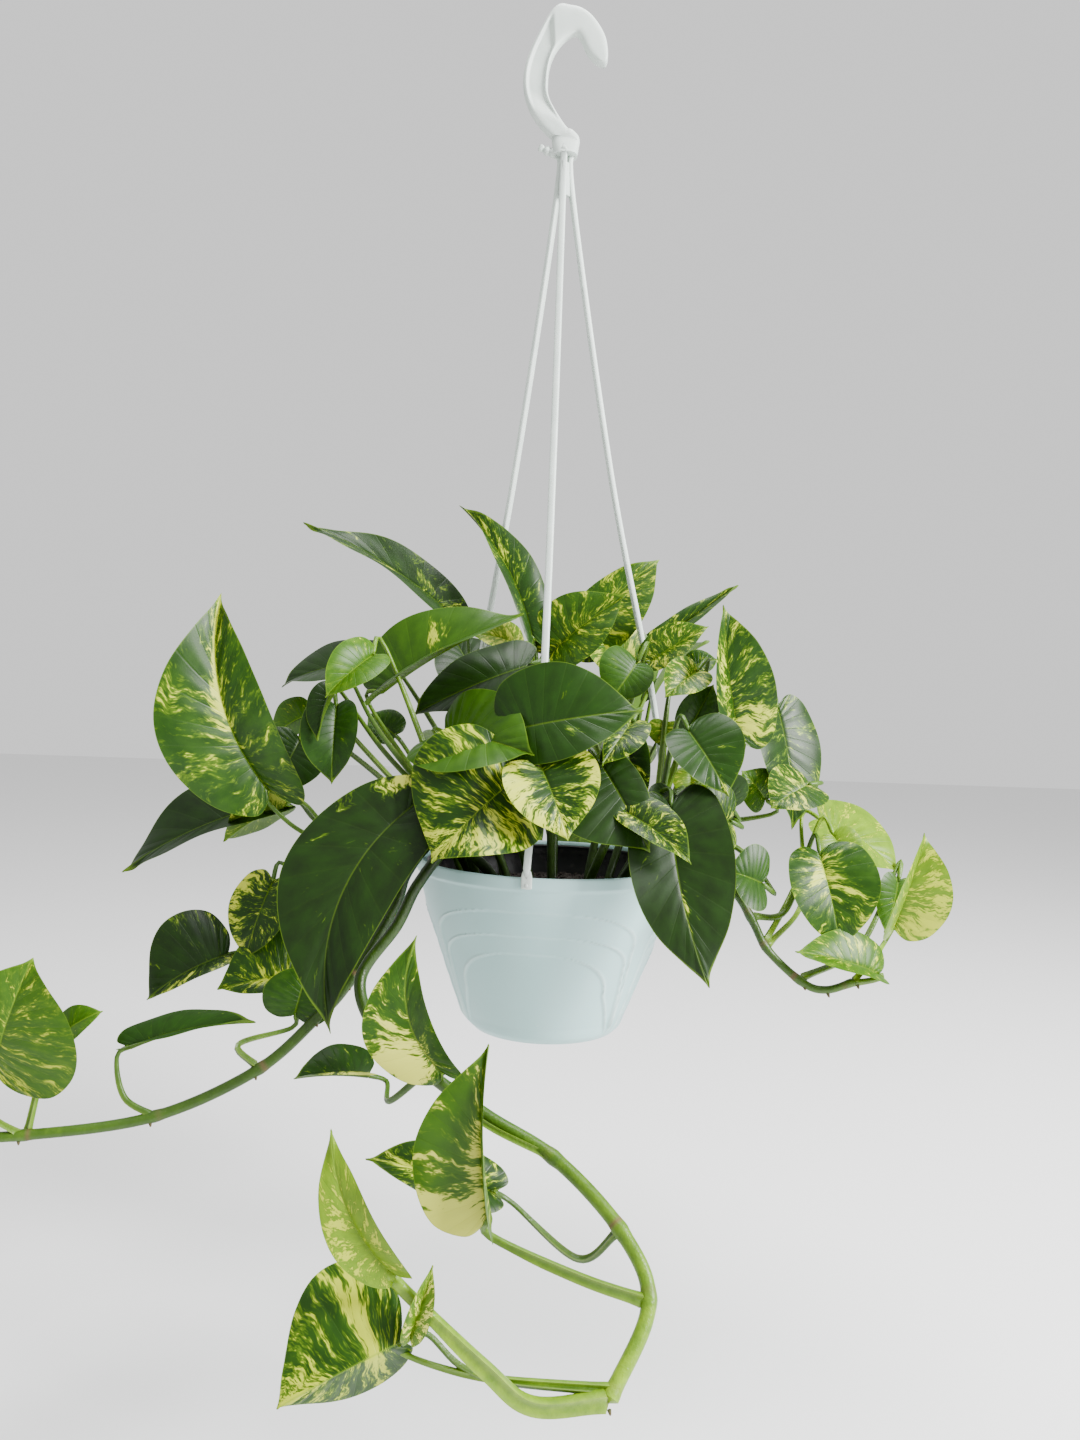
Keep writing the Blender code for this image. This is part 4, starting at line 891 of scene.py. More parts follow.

# the darkest stem green is partly an old stem's colour and partly painted shade for the stems inside the pot
OLD_STEM_AND_SHADE = (0.007, 0.018, 0.0015)
GREEN_STEM = (0.035, 0.085, 0.002)
FRESH_STEM = (0.095, 0.19, 0.003)
LIME_STEM = (0.20, 0.33, 0.004)
STEM_GREENS = ((0, OLD_STEM_AND_SHADE), (0.5, GREEN_STEM), (0.8, FRESH_STEM), (1, LIME_STEM))
WING_CREAM = (0.45, 0.54, 0.14)
SCAR_BROWN = (0.10, 0.055, 0.022)

POT_SHADE = (0.34, 0.54, 0.53)
POT_AQUA = (0.40, 0.60, 0.61)
POT_SCUFF = (0.62, 0.72, 0.70)
# paler aqua painted on the arch beads as a painted highlight
POT_BEAD_HIGHLIGHT = (0.66, 0.80, 0.78)
# the liner's black is deeper than its plastic alone, as painted shade inside the pot
LINER_BLACK_AND_SHADE = (0.0020, 0.0022, 0.0025)
LINER_DUST = (0.012, 0.009, 0.007)
# the soil's colours are its own dark peat, darkened further as painted shade inside the pot
PEAT_DARK_AND_SHADE = (0.004, 0.003, 0.002)
PEAT_BROWN = (0.022, 0.013, 0.008)
PEAT_FIBRE = (0.07, 0.042, 0.023)
HANGER_SHADE = (0.50, 0.56, 0.52)
HANGER_MILK = (0.62, 0.68, 0.63)
FLOOR_GREY = (0.8, 0.8, 0.8)


def leaf_finish():
    """Upper and lower side of a blade: green by tone, splashed along its side veins, with a paler rib.

    The splashes are where long streaks and fine flecks, drawn out along the side veins and stirred by
    a slow swirl, add up to more than a limit, which is lower where the leaf gathers them.
    """
    paint = Paint("pothos_leaf_blade")
    along, across, seed = paint.parts("leaf_place")
    tone, gather, pale = paint.parts("leaf_look")
    rib_reach, margin_reach, under = paint.parts("leaf_reach")
    half = across.between(-0.01, 0.01) * 4.7
    swirl = paint.noise(paint.vector(along * 3, across * 2, seed), 1.0) - 0.5

    def splashes(count, stir, spread, shift, detail):
        """Noise drawn out across a blade, `count` times finer along it, and not alike on its halves."""
        where = paint.vector(along * count + swirl * stir, across * spread + half, seed * shift)
        return paint.noise(where, 1.0, detail, 0.6)

    streak = splashes(count=22, stir=2.5, spread=1.2, shift=3.1, detail=4.0)
    fleck = splashes(count=105, stir=10, spread=7, shift=5.3, detail=2.0)
    field = streak * 0.64 + fleck * 0.36 + gather
    light = field.between(0.465, 0.565)
    bright = field.between(0.535, 0.605)

    mottle = paint.noise(paint.vector(along * 22, across * 3, seed * 2.3), 1.0, 3.0)
    green = paint.ramp(tone + (mottle - 0.5) * 0.35, LEAF_GREENS)
    yellow = paint.mix(pale, SPLASH_YELLOW, SPLASH_CREAM)
    colour = paint.mix(light * 0.7, green, SPLASH_GREEN)
    colour = paint.mix(bright * 0.92, colour, yellow)

    vein = (along * (LEAF_VEINS * math.pi)).sine().absolute().between(0.22, 0.0)
    rib = rib_reach.between(0.8, 0.3)
    colour = paint.mix(vein * (0.01 + tone * 0.05), colour, SPLASH_GREEN)
    colour = paint.mix(rib * (0.12 + tone * 0.7), colour, RIB_GREEN)
    colour = paint.mix(margin_reach.between(0.5, 0.1) * 0.4, colour, RIB_GREEN)
    colour = paint.mix(under * 0.6, colour, UNDERSIDE)
    grain = paint.noise(paint.place(), 900.0, 2.0)
    height = grain * 0.12 + vein * -0.35
    roughness = 0.36 + under * 0.2 + (mottle - 0.5) * 0.15
    return paint.finish(colour, roughness, height, 0.0002, Specular_IOR_Level=0.17)


def stem_finish():
    """Stems and petioles: darker green when old, near black at a stem's base as painted shade inside the
    pot, lime when young, with brown scars and pale wings.
    """
    paint = Paint("pothos_stem")
    youth, scar, wing = paint.parts("stem_look")
    streak = paint.noise(paint.place(), 160.0, 3.0)
    green = paint.ramp(youth + (streak - 0.5) * 0.4, STEM_GREENS)
    colour = paint.mix(wing * 0.8, green, WING_CREAM)
    colour = paint.mix(scar, colour, SCAR_BROWN)
    grain = paint.noise(paint.place(), 700.0, 2.0)
    return paint.finish(colour, 0.38 + scar * 0.4, grain, 0.0003, Specular_IOR_Level=0.35)


def pot_finish():
    """Pale aqua moulded plastic with faint clouds, fine scuffs, and a painted highlight that makes the beads
    paler.
    """
    paint = Paint("pot_plastic_fine")
    cloud = paint.noise(paint.place(), 18.0, 3.0)
    scuff = paint.noise(paint.place(), 240.0, 4.0, 0.7).between(0.62, 0.74)
    colour = paint.mix((cloud - 0.3) * 1.2, POT_SHADE, POT_AQUA)
    colour = paint.mix(scuff * 0.12, colour, POT_SCUFF)
    # painted highlight: the beads are mixed paler, as if their ridges caught the light
    colour = paint.mix(paint.number("bead") * 0.5, colour, POT_BEAD_HIGHLIGHT)
    grain = paint.noise(paint.place(), 1400.0, 2.0)
    return paint.finish(colour, 0.36 + cloud * 0.1, grain, 0.00006)


def liner_finish():
    """Near-black plastic of a grower's pot, dusty with soil; the black is deepened as painted shade inside
    the pot.
    """
    paint = Paint("liner_plastic_fine")
    dust = paint.noise(paint.place(), 120.0, 4.0, 0.65).between(0.5, 0.75)
    # near-black base colour: the liner's own black deepened as painted shade
    colour = paint.mix(dust * 0.4, LINER_BLACK_AND_SHADE, LINER_DUST)
    return paint.finish(colour, 0.42 + dust * 0.3, dust, 0.0002, Specular_IOR_Level=0.3)


def soil_finish():
    """Dark, damp peat with lighter fibres, all darkened further as painted shade inside the pot."""
    paint = Paint("potting_soil_fine")
    clump = paint.noise(paint.place(), 260.0, 5.0, 0.7)
    fibre = paint.noise(paint.place(), 900.0, 3.0, 0.7).between(0.6, 0.72)
    colour = paint.ramp(clump, ((0.3, PEAT_DARK_AND_SHADE), (0.7, PEAT_BROWN)))
    colour = paint.mix(fibre * 0.5, colour, PEAT_FIBRE)
    return paint.finish(colour, 0.92, clump + fibre * 0.3, 0.0012)


def hanger_finish():
    """Milky, slightly see-through moulded plastic."""
    paint = Paint("hanger_plastic_fine")
    cloud = paint.noise(paint.place(), 60.0, 3.0)
    colour = paint.mix((cloud - 0.3) * 1.5, HANGER_SHADE, HANGER_MILK)
    grain = paint.noise(paint.place(), 500.0, 3.0)
    return paint.finish(colour, 0.38 + cloud * 0.12, grain, 0.00006, Subsurface_Weight=0.25,
                        Subsurface_Radius=(0.004, 0.004, 0.004), Subsurface_Scale=1.0)


# Leaves

def leaf_frame(leaf):
    """Axes of a leaf: along its chord, to its left, and out of its upper face; and its chord."""
    along = np.subtract(leaf.tip, leaf.joint).astype(float)
    chord = np.linalg.norm(along)
    along /= chord
    up = np.asarray(leaf.face, float)
    up = unit(up - up.dot(along) * along)
    return along, np.cross(up, along), up, chord


def leaf_edge(t):
    """Points of a leaf's edge at t, from 0 at the joint to 1 at the tip."""
    padded = [LEAF_EDGE[0], *LEAF_EDGE, LEAF_EDGE[-1]]
    return spline(padded, t * (len(LEAF_EDGE) - 1))


def blade_surface(leaf, t, v, phase):
    """Points of a blade: t runs from joint to tip, v from its right edge at -1 to its left edge at 1.

    The flat point lies between a point of the midrib, at t squared, and one of the edge. The halves
    fold up from the midrib, most steeply beside it, the edge waves, with finer ripples on it, the
    blade twists about the midrib, and the midrib bends in an arc.
    """
    along, left, up, chord = leaf_frame(leaf)
    bend = math.radians(max(leaf.droop, 1))
    length = chord * (bend / 2) / math.sin(bend / 2)
    edge = leaf_edge(t)
    side = np.abs(v)
    run = (t * t + (edge[..., 0] - t * t) * side) * length
    across = edge[..., 1] * side * leaf.width / 2 * np.where(v > 0, leaf.halves[0], leaf.halves[1])
    angle = bend / 2 - bend * run / length
    radius = length / bend
    ahead = radius * (math.sin(bend / 2) - np.sin(angle))
    height = radius * (np.cos(angle) - math.cos(bend / 2))
    tilt = np.radians(np.where(v > 0, leaf.fold[0], leaf.fold[1]))
    rise = across * np.sin(tilt) * (1.2 - 0.4 * side)
    rise = rise + MARGIN_WAVE * length * side ** 2 * np.sin(2 * math.pi * WAVES * t + phase)
    rise = rise + RIPPLE * length * side ** 4 * np.sin(2 * math.pi * RIPPLES * t + phase * 2 + v)
    sideways = across * np.cos(tilt) * np.sign(v)
    turn = math.radians(leaf.twist) * (run / length - 0.5)
    sideways, rise = (sideways * np.cos(turn) - rise * np.sin(turn),
                      sideways * np.sin(turn) + rise * np.cos(turn))
    sideways = sideways + leaf.sweep * run * 4 * (1 - run / length)
    ahead = ahead - rise * np.sin(angle)
    height = height + rise * np.cos(angle)
    offsets = ahead[..., None] * along + sideways[..., None] * left + height[..., None] * up
    return np.asarray(leaf.joint, float) + offsets, across


def leaf_grid(leaf):
    """Rows along a blade and columns across it, closer together near the midrib."""
    rows, columns = LARGE_GRID if leaf.width >= LARGE_LEAF else SMALL_GRID
    spread = np.linspace(-1, 1, columns)
    v = np.sign(spread) * np.abs(spread) ** CROWDING
    return np.meshgrid(np.linspace(0, 1, rows), v, indexing="ij")


def gathering(look, t, v):
    """How strongly the splashes gather at each point: by a cubic of their share, and more on each patch."""
    gather = np.full(t.shape, 0.95 * (look.splash - 0.5) ** 3 + 0.22 * (look.splash - 0.5))
    for patch_t, patch_v, t_reach, v_reach, strength in look.patches:
        gather += strength * hump(t - patch_t, t_reach) * hump(v - patch_v, v_reach)
    return gather


def blade(shape, leaf, phase):
    """One leaf's blade: the surface, bulging between its veins, with a lower side that carries the rib.

    The upper side is the surface raised by half the thickness, which falls to nothing at the margin,
    and the lower side is it lowered by as much, and by a rib that tapers from the joint to the tip.
    """
    t, v = leaf_grid(leaf)
    points, across = blade_surface(leaf, t, v, phase)
    normal = unit(np.cross(np.gradient(points, axis=0), np.gradient(points, axis=1)))
    normal[0] = normal[1]
    normal[-1] = normal[-2]
    side = np.abs(v)
    bulge = PUCKER * leaf.width * np.sin(math.pi * LEAF_VEINS * t) ** 2 * 4 * side * (1 - side)
    bulge *= smoothstep(0.02, 0.2, t) * smoothstep(1.0, 0.8, t)
    fading = 1 - side ** 6
    half = BLADE_THICKNESS / 2 * fading
    rib = smoothstep(1.0, 0.1, t)
    groove = GROOVE_DEPTH * rib * hump(across, GROOVE_WIDTH)
    keel = (KEEL_HEIGHT[0] + KEEL_HEIGHT[1] * rib) * hump(across, KEEL_WIDTH[0] + KEEL_WIDTH[1] * rib)
    upper = points + normal * (bulge + half - groove)[..., None]
    lower = points + normal * (bulge - half - keel * fading)[..., None]
    upper[:, [0, -1]] = points[:, [0, -1]]

    def round_blade(over, beneath):
        """Values from the right edge to the left over the upper side, and back beneath it."""
        return np.concatenate([over, beneath[:, -2:0:-1]], axis=1)

    def on_both_sides(*values):
        """A vector of values that are alike on both sides."""
        return np.stack([round_blade(value, value) for value in np.broadcast_arrays(*values)], axis=-1)

    place = on_both_sides(t, v, phase)
    look = on_both_sides(leaf.look.tone, gathering(leaf.look, t, v), leaf.look.pale)
    margin = across * (1 / np.maximum(side, 0.01) - 1)
    under = round_blade(np.zeros(t.shape), np.ones(t.shape))
    reach = np.concatenate([on_both_sides(across, margin), under[..., None]], axis=-1)
    shape.wrap(at_rim(round_blade(upper, lower)), leaf_place=place, leaf_look=look, leaf_reach=reach)


# Stems

def tube(shape, places, first_side, angle, reach, youth, scar, wing=0):
    """A tube round a path: `reach` is its radius at each place and angle, and the rest its colours."""
    ahead, sides = carried_sides(places, first_side)
    ring = rings(places, sides, ahead, reach * np.cos(angle), reach * np.sin(angle))
    look = np.zeros(ring.shape)
    for number, value in enumerate((youth, scar, wing)):
        look[..., number] = value
    shape.wrap(at_rim(ring), stem_look=look)


def petiole_points(leaf, stem):
    """A petiole's route: out of the stem, past its own points, and just past the start of the midrib.

    Petioles that share a point of the stem grow from it one behind the other.
    """
    together = [other for other in stem.leaves if other.node == leaf.node]
    setback = ROOT_SETBACK + ROOT_SPACING * together.index(leaf)
    point = np.asarray(stem.points[leaf.node], float)
    root = point + unit(np.asarray(stem.points[leaf.node - 1], float) - point) * setback
    along, _, up, _ = leaf_frame(leaf)
    joint = np.asarray(leaf.joint, float)
    arrival = unit(along + ARRIVAL_LIFT * up)
    approach = joint - arrival * min(APPROACH_SHARE * np.linalg.norm(joint - root), APPROACH_MOST)
    return [root, *leaf.via, approach, joint + arrival * PETIOLE_TOP]


def petiole(shape, leaf, stem, youth):
    """One petiole: round at the leaf, grooved along its upper side, and winged towards the stem.

    Its rings run from the leaf back to the stem, so its upper side lies a quarter turn backwards.
    """
    places = smooth_path(petiole_points(leaf, stem)[::-1], PETIOLE_STEP)
    run = run_of(places)
    share = run / run[-1]
    angle = -angles_round(PETIOLE_SIDES)
    from_top = np.abs((angle + math.pi / 2 + math.pi) % (2 * math.pi) - math.pi)
    _, left, _, _ = leaf_frame(leaf)
    radius = leaf.stalk * (PETIOLE_TOP + (PETIOLE_ROOT - PETIOLE_TOP) * share)
    radius = radius + SWELL_AT_STEM * hump(share - 1, 0.06) + SWELL_AT_LEAF * hump(share - 0.06, 0.05)
    groove = PETIOLE_GROOVE * smoothstep(0.03, 0.15, share)[:, None] * hump(from_top, 0.45)
    wing = PETIOLE_WING * smoothstep(0.2, 0.5, share)[:, None] * hump(from_top - 0.85, 0.24)
    reach = radius[:, None] * (1 - groove + wing)
    scar = 0.75 * hump(share - 1, 0.012)[:, None]
    tube(shape, places, left, angle, reach, youth, scar, 0.5 * wing)


def stem_body(shape, stem, youth):
    """The stem: a tube with a swollen node and a brown scar ring where each petiole leaves it."""
    places = smooth_path(stem.points, STEM_STEP)
    run = run_of(places)
    share = run / run[-1]
    angle = angles_round(STEM_SIDES)
    radius = stem.radii[0] + (stem.radii[1] - stem.radii[0]) * share
    swelling = np.zeros(len(places))
    scar = np.zeros(len(places))
    for node in sorted({leaf.node for leaf in stem.leaves}):
        centre = run[np.argmin(np.linalg.norm(places - np.asarray(stem.points[node], float), axis=1))]
        swelling += NODE_SWELLING * hump(run - centre + SWELLING_SETBACK, SWELLING_REACH)
        scar += hump(run - centre + SCAR_SETBACK, SCAR_WIDTH)
    reach = (radius * (1 + swelling) * round_end(run[-1] - run, STEM_END))[:, None]
    reach = reach * (1 + RIDGE_HEIGHT * np.cos(STEM_RIDGES * angle + 2 * share[:, None]))
    # the green darkens towards the base, partly older stem and partly painted shade inside the pot
    tube(shape, places, (1, 0, 0), angle, reach, (youth * share ** 1.6)[:, None],
         np.clip(scar, 0, 0.85)[:, None])


def root_nub(shape, place, radius):
    """The short brown start of an aerial root under a stem's node."""
    share = np.linspace(0, 1, NUB_RINGS)
    out = (radius * 0.6 + NUB_LENGTH * share)[:, None]
    places = np.asarray(place, float) + out * unit(np.array(NUB_WAY))
    reach = NUB_RADIUS * (1 - NUB_TAPER * share) * np.sqrt(np.clip(1 - share ** 6, 0, 1))
    tube(shape, places, (1, 0, 0), angles_round(NUB_SIDES), reach[:, None], 0.25,
         (0.2 + 0.7 * share)[:, None])


def back_leaf(tier, number, draw):
    """One leaf behind the plant, by the tier it hangs in and its number from the right."""
    (joint_out, joint_up), (tip_out, tip_up), width = BACK_TIERS[tier]
    stagger = BACK_STAGGER * (number % 2)

    def stray(most):
        """A drawn number from -most to most."""
        return draw.uniform(-most, most)

    turn = BACK_AZIMUTHS[number] + stray(BACK_TURN) + BACK_TIER_TURN * tier
    outward = outward_way(turn)
    tip_way = outward_way(turn + stray(BACK_SWING))
    joint = outward * (joint_out + stagger) + (0, 0, joint_up - stagger + stray(BACK_JOINT_DRIFT))
    tip = tip_way * (tip_out + stagger + stray(BACK_TIP_DRIFT))
    tip[2] = tip_up - stagger + stray(BACK_TIP_DRIFT)
    face = outward + (0, 0, 0.4 + 0.4 * tier)
    width *= draw.uniform(*BACK_WIDTHS)
    look = Look(0.12 + 0.11 * ((number * 2 + tier) % 5), 0.1 + 0.13 * ((number + 2 * tier) % 4), BACK_PALE)
    return Leaf(3, tuple(joint), tuple(tip), width, tuple(face), BACK_FOLD, BACK_DROOP, look=look)


def back_stems():
    """The stems that the pot's back carries, with leaves in tiers, drawn from one seed."""
    draw = random.Random(BACK_SEED)
    places = range(len(BACK_AZIMUTHS))
    fans = [[back_leaf(tier, number, draw) for number in places] for tier in range(len(BACK_TIERS))]
    return {
        name: Stem(points, BACK_RADII, tuple(fan[number] for number in carried for fan in fans))
        for name, (points, carried) in BACK_STEMS.items()
    }


def leafy_stem(name, stem, blade_paint, stem_paint):
    """One stem's finished leaves and its stem with petioles, in place of its plain solid."""
    blades = Shape()
    stalks = Shape()
    stem_body(stalks, stem, YOUTH.get(name, PLAIN_YOUTH))
    for place in stem.points[NUBS_FROM:] if name in YOUTH else ():
        root_nub(stalks, place, stem.radii[0])
    for number, leaf in enumerate(stem.leaves):
        blade(blades, leaf, PHASE_STEP * number)
        petiole(stalks, leaf, stem, PETIOLE_YOUTH[0] + PETIOLE_YOUTH[1] * leaf.look.tone)
    dress(blades.piece(name + "_leaves", blade_paint), "pothos_leaf", name)
    dress(stalks.piece(name + "_stalks", stem_paint), "pothos_leaf", name)


# Pot, liner and soil

def arches(angle, depth):
    """How deep the pot's surface is sunk at an angle and a depth below the rim, and where the beads are,
    which also places their painted highlight.

    Each arch is a step down inwards, with a fine bead along its edge that is faint at its top. Its
    half span widens from nothing at its top over a rounded shoulder, then spreads to the edge of its
    sector at the foot.
    """
    off = degrees_off_straps(angle)
    sunk = np.zeros(np.broadcast(angle, depth).shape)
    bead = np.zeros(sunk.shape)
    bead_strength = ARCH_BEAD_TOP + (1 - ARCH_BEAD_TOP) * smoothstep(*ARCH_BEAD_RISE, off)
    for top, span, shoulder in ARCHES:
        below = depth - top
        corner = np.clip(below / shoulder, 0, 1)
        half = span * (1 - (1 - corner) ** ARCH_SHOULDER) ** (1 / ARCH_SHOULDER)
        foot = np.clip((below - shoulder) / (POT_HEIGHT - top - shoulder), 0, 1)
        half = half + (ARCH_SECTOR - span) * foot
        inside = np.minimum((half - off) * MM_PER_DEGREE, below)
        sunk = sunk + ARCH_STEP * smoothstep(0, ARCH_EDGE, inside)
        bead = bead + hump(inside, ARCH_BEAD_WIDTH) * bead_strength
    fade = smoothstep(*ARCH_FADE, POT_HEIGHT - depth)
    return (sunk - ARCH_BEAD * bead) * fade, bead * fade


def pot(paint):
    """The outer pot: a turned shell with a lip and band at its rim, and stepped arches in its wall."""
    start = np.vstack([along_profile(POT_INSIDE, step=6), along_profile(POT_LIP, step=1.2)])
    wall = spline(with_ends(POT_OUTSIDE), np.linspace(0, len(POT_OUTSIDE) - 1, POT_WALL_ROWS))
    shell = turned_rings(np.vstack([start, wall, along_profile(POT_FOOT, step=3)]), POT_COLUMNS)
    rows = slice(len(start), len(start) + len(wall))
    sunk, bead = arches(np.degrees(angles_round(POT_COLUMNS))[None], -wall[:, 1:])
    shell[rows, :, :2] *= (1 - sunk / wall[:, :1])[..., None]
    edge = np.zeros(shell.shape[:2])
    edge[rows] = bead
    shape = Shape()
    shape.wrap(at_rim(shell), bead=edge)
    dress(shape.piece("pot", paint, MOULDED_EDGE), "pot_plastic", "pot_shell")


def liner(paint):
    """The black grower's pot, with a rolled lip."""
    floor = POT_HEIGHT - POT_WALL - GAP
    foot = LINER_FOOT_RADIUS
    lip = np.array(LINER_LIP) + (LINER_TOP_RADIUS, 0)
    profile = np.vstack([
        along_profile([(0, LINER_WALL - floor), (foot - LINER_FOOT_RISE, LINER_WALL - floor)], step=10),
        along_profile([(foot - LINER_WALL, LINER_FOOT_RISE - floor),
                       (LINER_TOP_RADIUS - LINER_LIP_WIDTH, -10)], step=8),
        along_profile(lip, step=0.8),
        along_profile([(foot, LINER_FOOT_RISE - floor), (foot - LINER_FOOT_RISE, -floor), (0, -floor)],
                      step=10),
    ])
    shape = Shape()
    shape.wrap(at_rim(turned_rings(profile, LINER_COLUMNS)))
    dress(shape.piece("liner", paint, MOULDED_EDGE), "liner_plastic", "liner_pot")


def crumb(ball, draw, rim):
    """One crumb on the soil's crown: a ball with a drawn place, size and turn."""
    angle, out = draw.uniform(0, 2 * math.pi), rim * CRUMB_REACH * math.sqrt(draw.uniform())
    size = draw.uniform(*CRUMB_SIZES) * np.array([1, draw.uniform(0.6, 1), draw.uniform(0.5, 0.9)])
    turn = np.array(Matrix.Rotation(draw.uniform(0, 6.28), 3, Vector(draw.normal(size=3))))
    height = SOIL_CROWN * (1 - (out / rim) ** 2) - SOIL_EDGE_DEPTH + CRUMB_RISE
    return (ball * size) @ turn.T + (out * math.cos(angle), out * math.sin(angle), height)


def soil(paint):
    """The soil's lumpy crown down to its foot, and loose crumbs on it, drawn from one seed."""
    slack = LINER_WALL + GAP
    floor = POT_HEIGHT - POT_WALL - slack
    height_share = (floor - LINER_FOOT_RISE - SOIL_EDGE_DEPTH) / (floor - LINER_FOOT_RISE - LINER_TOP)
    rim = (LINER_FOOT_RADIUS - slack + (LINER_TOP_RADIUS - LINER_FOOT_RADIUS) * height_share
           - SOIL_EDGE_GAP)
    share = np.linspace(0, 1, SOIL_ROWS)
    crown = np.stack([rim * share, SOIL_CROWN * (1 - share ** 2) - SOIL_EDGE_DEPTH], axis=-1)
    foot = LINER_FOOT_RADIUS - slack - SOIL_FOOT_GAP
    profile = np.vstack([crown, [(foot, LINER_FOOT_RISE - floor), (foot - 5, -floor), (0, -floor)]])
    shell = turned_rings(profile, SOIL_COLUMNS)
    top = shell[:SOIL_ROWS]
    lumps = sum(height * waves(top, size, seed) for height, size, seed in SOIL_LUMPS)
    top[..., 2] += lumps * smoothstep(1.0, 0.96, share)[:, None] * smoothstep(0, 0.03, share)[:, None]
    shape = Shape()
    shape.wrap(at_rim(shell))
    draw = np.random.default_rng(CRUMB_SEED)
    ball = turned_rings(CRUMB_PROFILE, CRUMB_SIDES)
    ball *= 1 + CRUMB_DENTS * waves(ball * 3, 1.0, 5)[..., None]
    for _ in range(CRUMBS):
        shape.wrap(at_rim(crumb(ball, draw, rim)))
    dress(shape.piece("soil", paint), "potting_soil", "potting_soil")


# Hanger

def hook(shape):
    """The hook: rings between its inner and outer outline, hollowed on both faces along the limb."""
    shares = np.linspace(0, 1, HOOK_RINGS)
    outer = evenly([(x, 0, z) for x, z in HOOK_OUTSIDE], shares)
    inner = evenly([(x, 0, z) for x, z in HOOK_INSIDE], shares)
    across, upward = superellipse(HOOK_SIDES, HOOK_CORNERS)
    hollow = smoothstep(*RECESS_START, shares) * smoothstep(*RECESS_END, shares)
    dish = HOOK_RECESS * hollow[:, None] * smoothstep(*RECESS_SIDES, np.abs(across))
    depth = (HOOK_DEPTH / 2 - dish) * upward
    shrink = round_end(1 - shares, HOOK_END_ROUND)[:, None]
    ring = ((outer + inner) / 2)[:, None] + (across * shrink)[..., None] * ((outer - inner) / 2)[:, None]
    ring[..., 1] += depth * (HOOK_END_DEPTH + (1 - HOOK_END_DEPTH) * shrink)
    shape.wrap(ring)


def strap_route(outward, side, bulges):
    """A strap's centre line from the collar down to the rim band."""
    top = np.array([COLLAR_X, 0, STRAP_TOP]) + outward * STRAP_SPREAD
    bridge = np.array([COLLAR_X, 0, BRIDGE_SPAN[0]]) + outward * STRAP_SPREAD
    reach = RIM_RADIUS + GAP + STRAP_THICKNESS / 2
    rim = outward * reach + (0, 0, STRAP_BEND - RIM_DROP)
    end = outward * reach + (0, 0, STRAP_END - RIM_DROP)
    middle = [
        bridge + (rim - bridge) * share + outward * out + side * across
        for share, (out, across) in zip(STRAP_SHARES, bulges)
    ]
    return smooth_path([top, bridge, *middle, rim, end], STRAP_STEP)


def strap(shape, azimuth, bulges):
    """One strap, with a round-edged ribbon section, its tongue on the rim band and the peg's button."""
    outward = outward_way(azimuth)
    side = np.cross((0, 0, 1), outward)
    places = strap_route(outward, side, bulges)
    across, upward = superellipse(STRAP_SIDES, STRAP_CORNERS)
    shape.wrap(rings(places, np.broadcast_to(side, places.shape), unit(np.gradient(places, axis=0)),
                     across * STRAP_WIDTH / 2, upward * (STRAP_THICKNESS / 2 + STRAP_BULGE)))
    height = np.linspace(-TONGUE_REACH, TONGUE_TOP, TONGUE_RINGS)
    end = round_end(np.minimum(height + TONGUE_REACH, TONGUE_TOP - height), TONGUE_ROUND)
    centre = outward * (RIM_RADIUS + GAP + TONGUE_THICKNESS / 2) + (0, 0, -RIM_DROP)
    line = centre + height[:, None] * (0, 0, 1)
    taper = 1 - TONGUE_TAPER * smoothstep(0, TONGUE_TOP, height)
    half_width = TONGUE_WIDTH / 2 * taper * (0.6 + 0.4 * end)
    shape.wrap(rings(line, np.broadcast_to(side, line.shape), np.broadcast_to((0, 0, 1.0), line.shape),
                     across * half_width[:, None], upward * (TONGUE_THICKNESS / 2 * end)[:, None]))
    turn = np.array(Matrix((Vector(side), Vector((0, 0, -1)), Vector(outward))).transposed())
    middle = outward * (RIM_RADIUS + GAP + TONGUE_THICKNESS) + (0, 0, -RIM_DROP - PEG_DROP)
    shape.wrap(turned_rings(PEG_BUTTON, 16) @ turn.T + middle)


def collar(shape, axis):
    """The base of the limb: as flat as the limb at its top, and round where the straps leave it."""
    radius, depth, height = np.transpose(smooth_path(COLLAR, COLLAR_STEP))
    across, upward = superellipse(COLLAR_SIDES, COLLAR_CORNERS)
    ring = np.stack(np.broadcast_arrays(radius[:, None] * across, depth[:, None] * upward, height[:, None]),
                    axis=-1)
    ends = ring[[0, -1]] * (0.05, 0.05, 1)
    shape.wrap(np.concatenate([ends[:1], ring, ends[1:]]) + axis)


def web(shape, axis):
    """The web that joins the straps below the collar: a prism with a corner at each strap."""
    angle = np.degrees(angles_round(BRIDGE_SIDES))
    reach = STRAP_SPREAD / 2 / np.cos(np.radians(60 - degrees_off_straps(angle)))
    low, high = BRIDGE_SPAN
    profile = np.array([(0.1, high), (0.9, high), (1, high - BRIDGE_CHAMFER), (1, low + BRIDGE_CHAMFER),
                        (0.9, low), (0.1, low)])
    ring = turned_rings(profile, len(angle))
    ring[..., :2] *= reach[:, None]
    shape.wrap(ring + axis)


def nub(shape):
    """The lumpy moulding nub beside the collar: dented beads that run into each other."""
    latitude = np.linspace(-math.pi / 2, math.pi / 2, NUB_BEAD_RINGS)
    for number, (x, z, radius) in enumerate(NUB_BEADS):
        profile = np.stack([radius * np.cos(latitude), radius * np.sin(latitude)], axis=-1)
        ball = turned_rings(profile, NUB_BEAD_SIDES)
        ball *= (1 + NUB_DENTS * waves(ball, NUB_DENT_SIZE, NUB_SEED + number))[..., None]
        shape.wrap(ball + (x, 0, z))


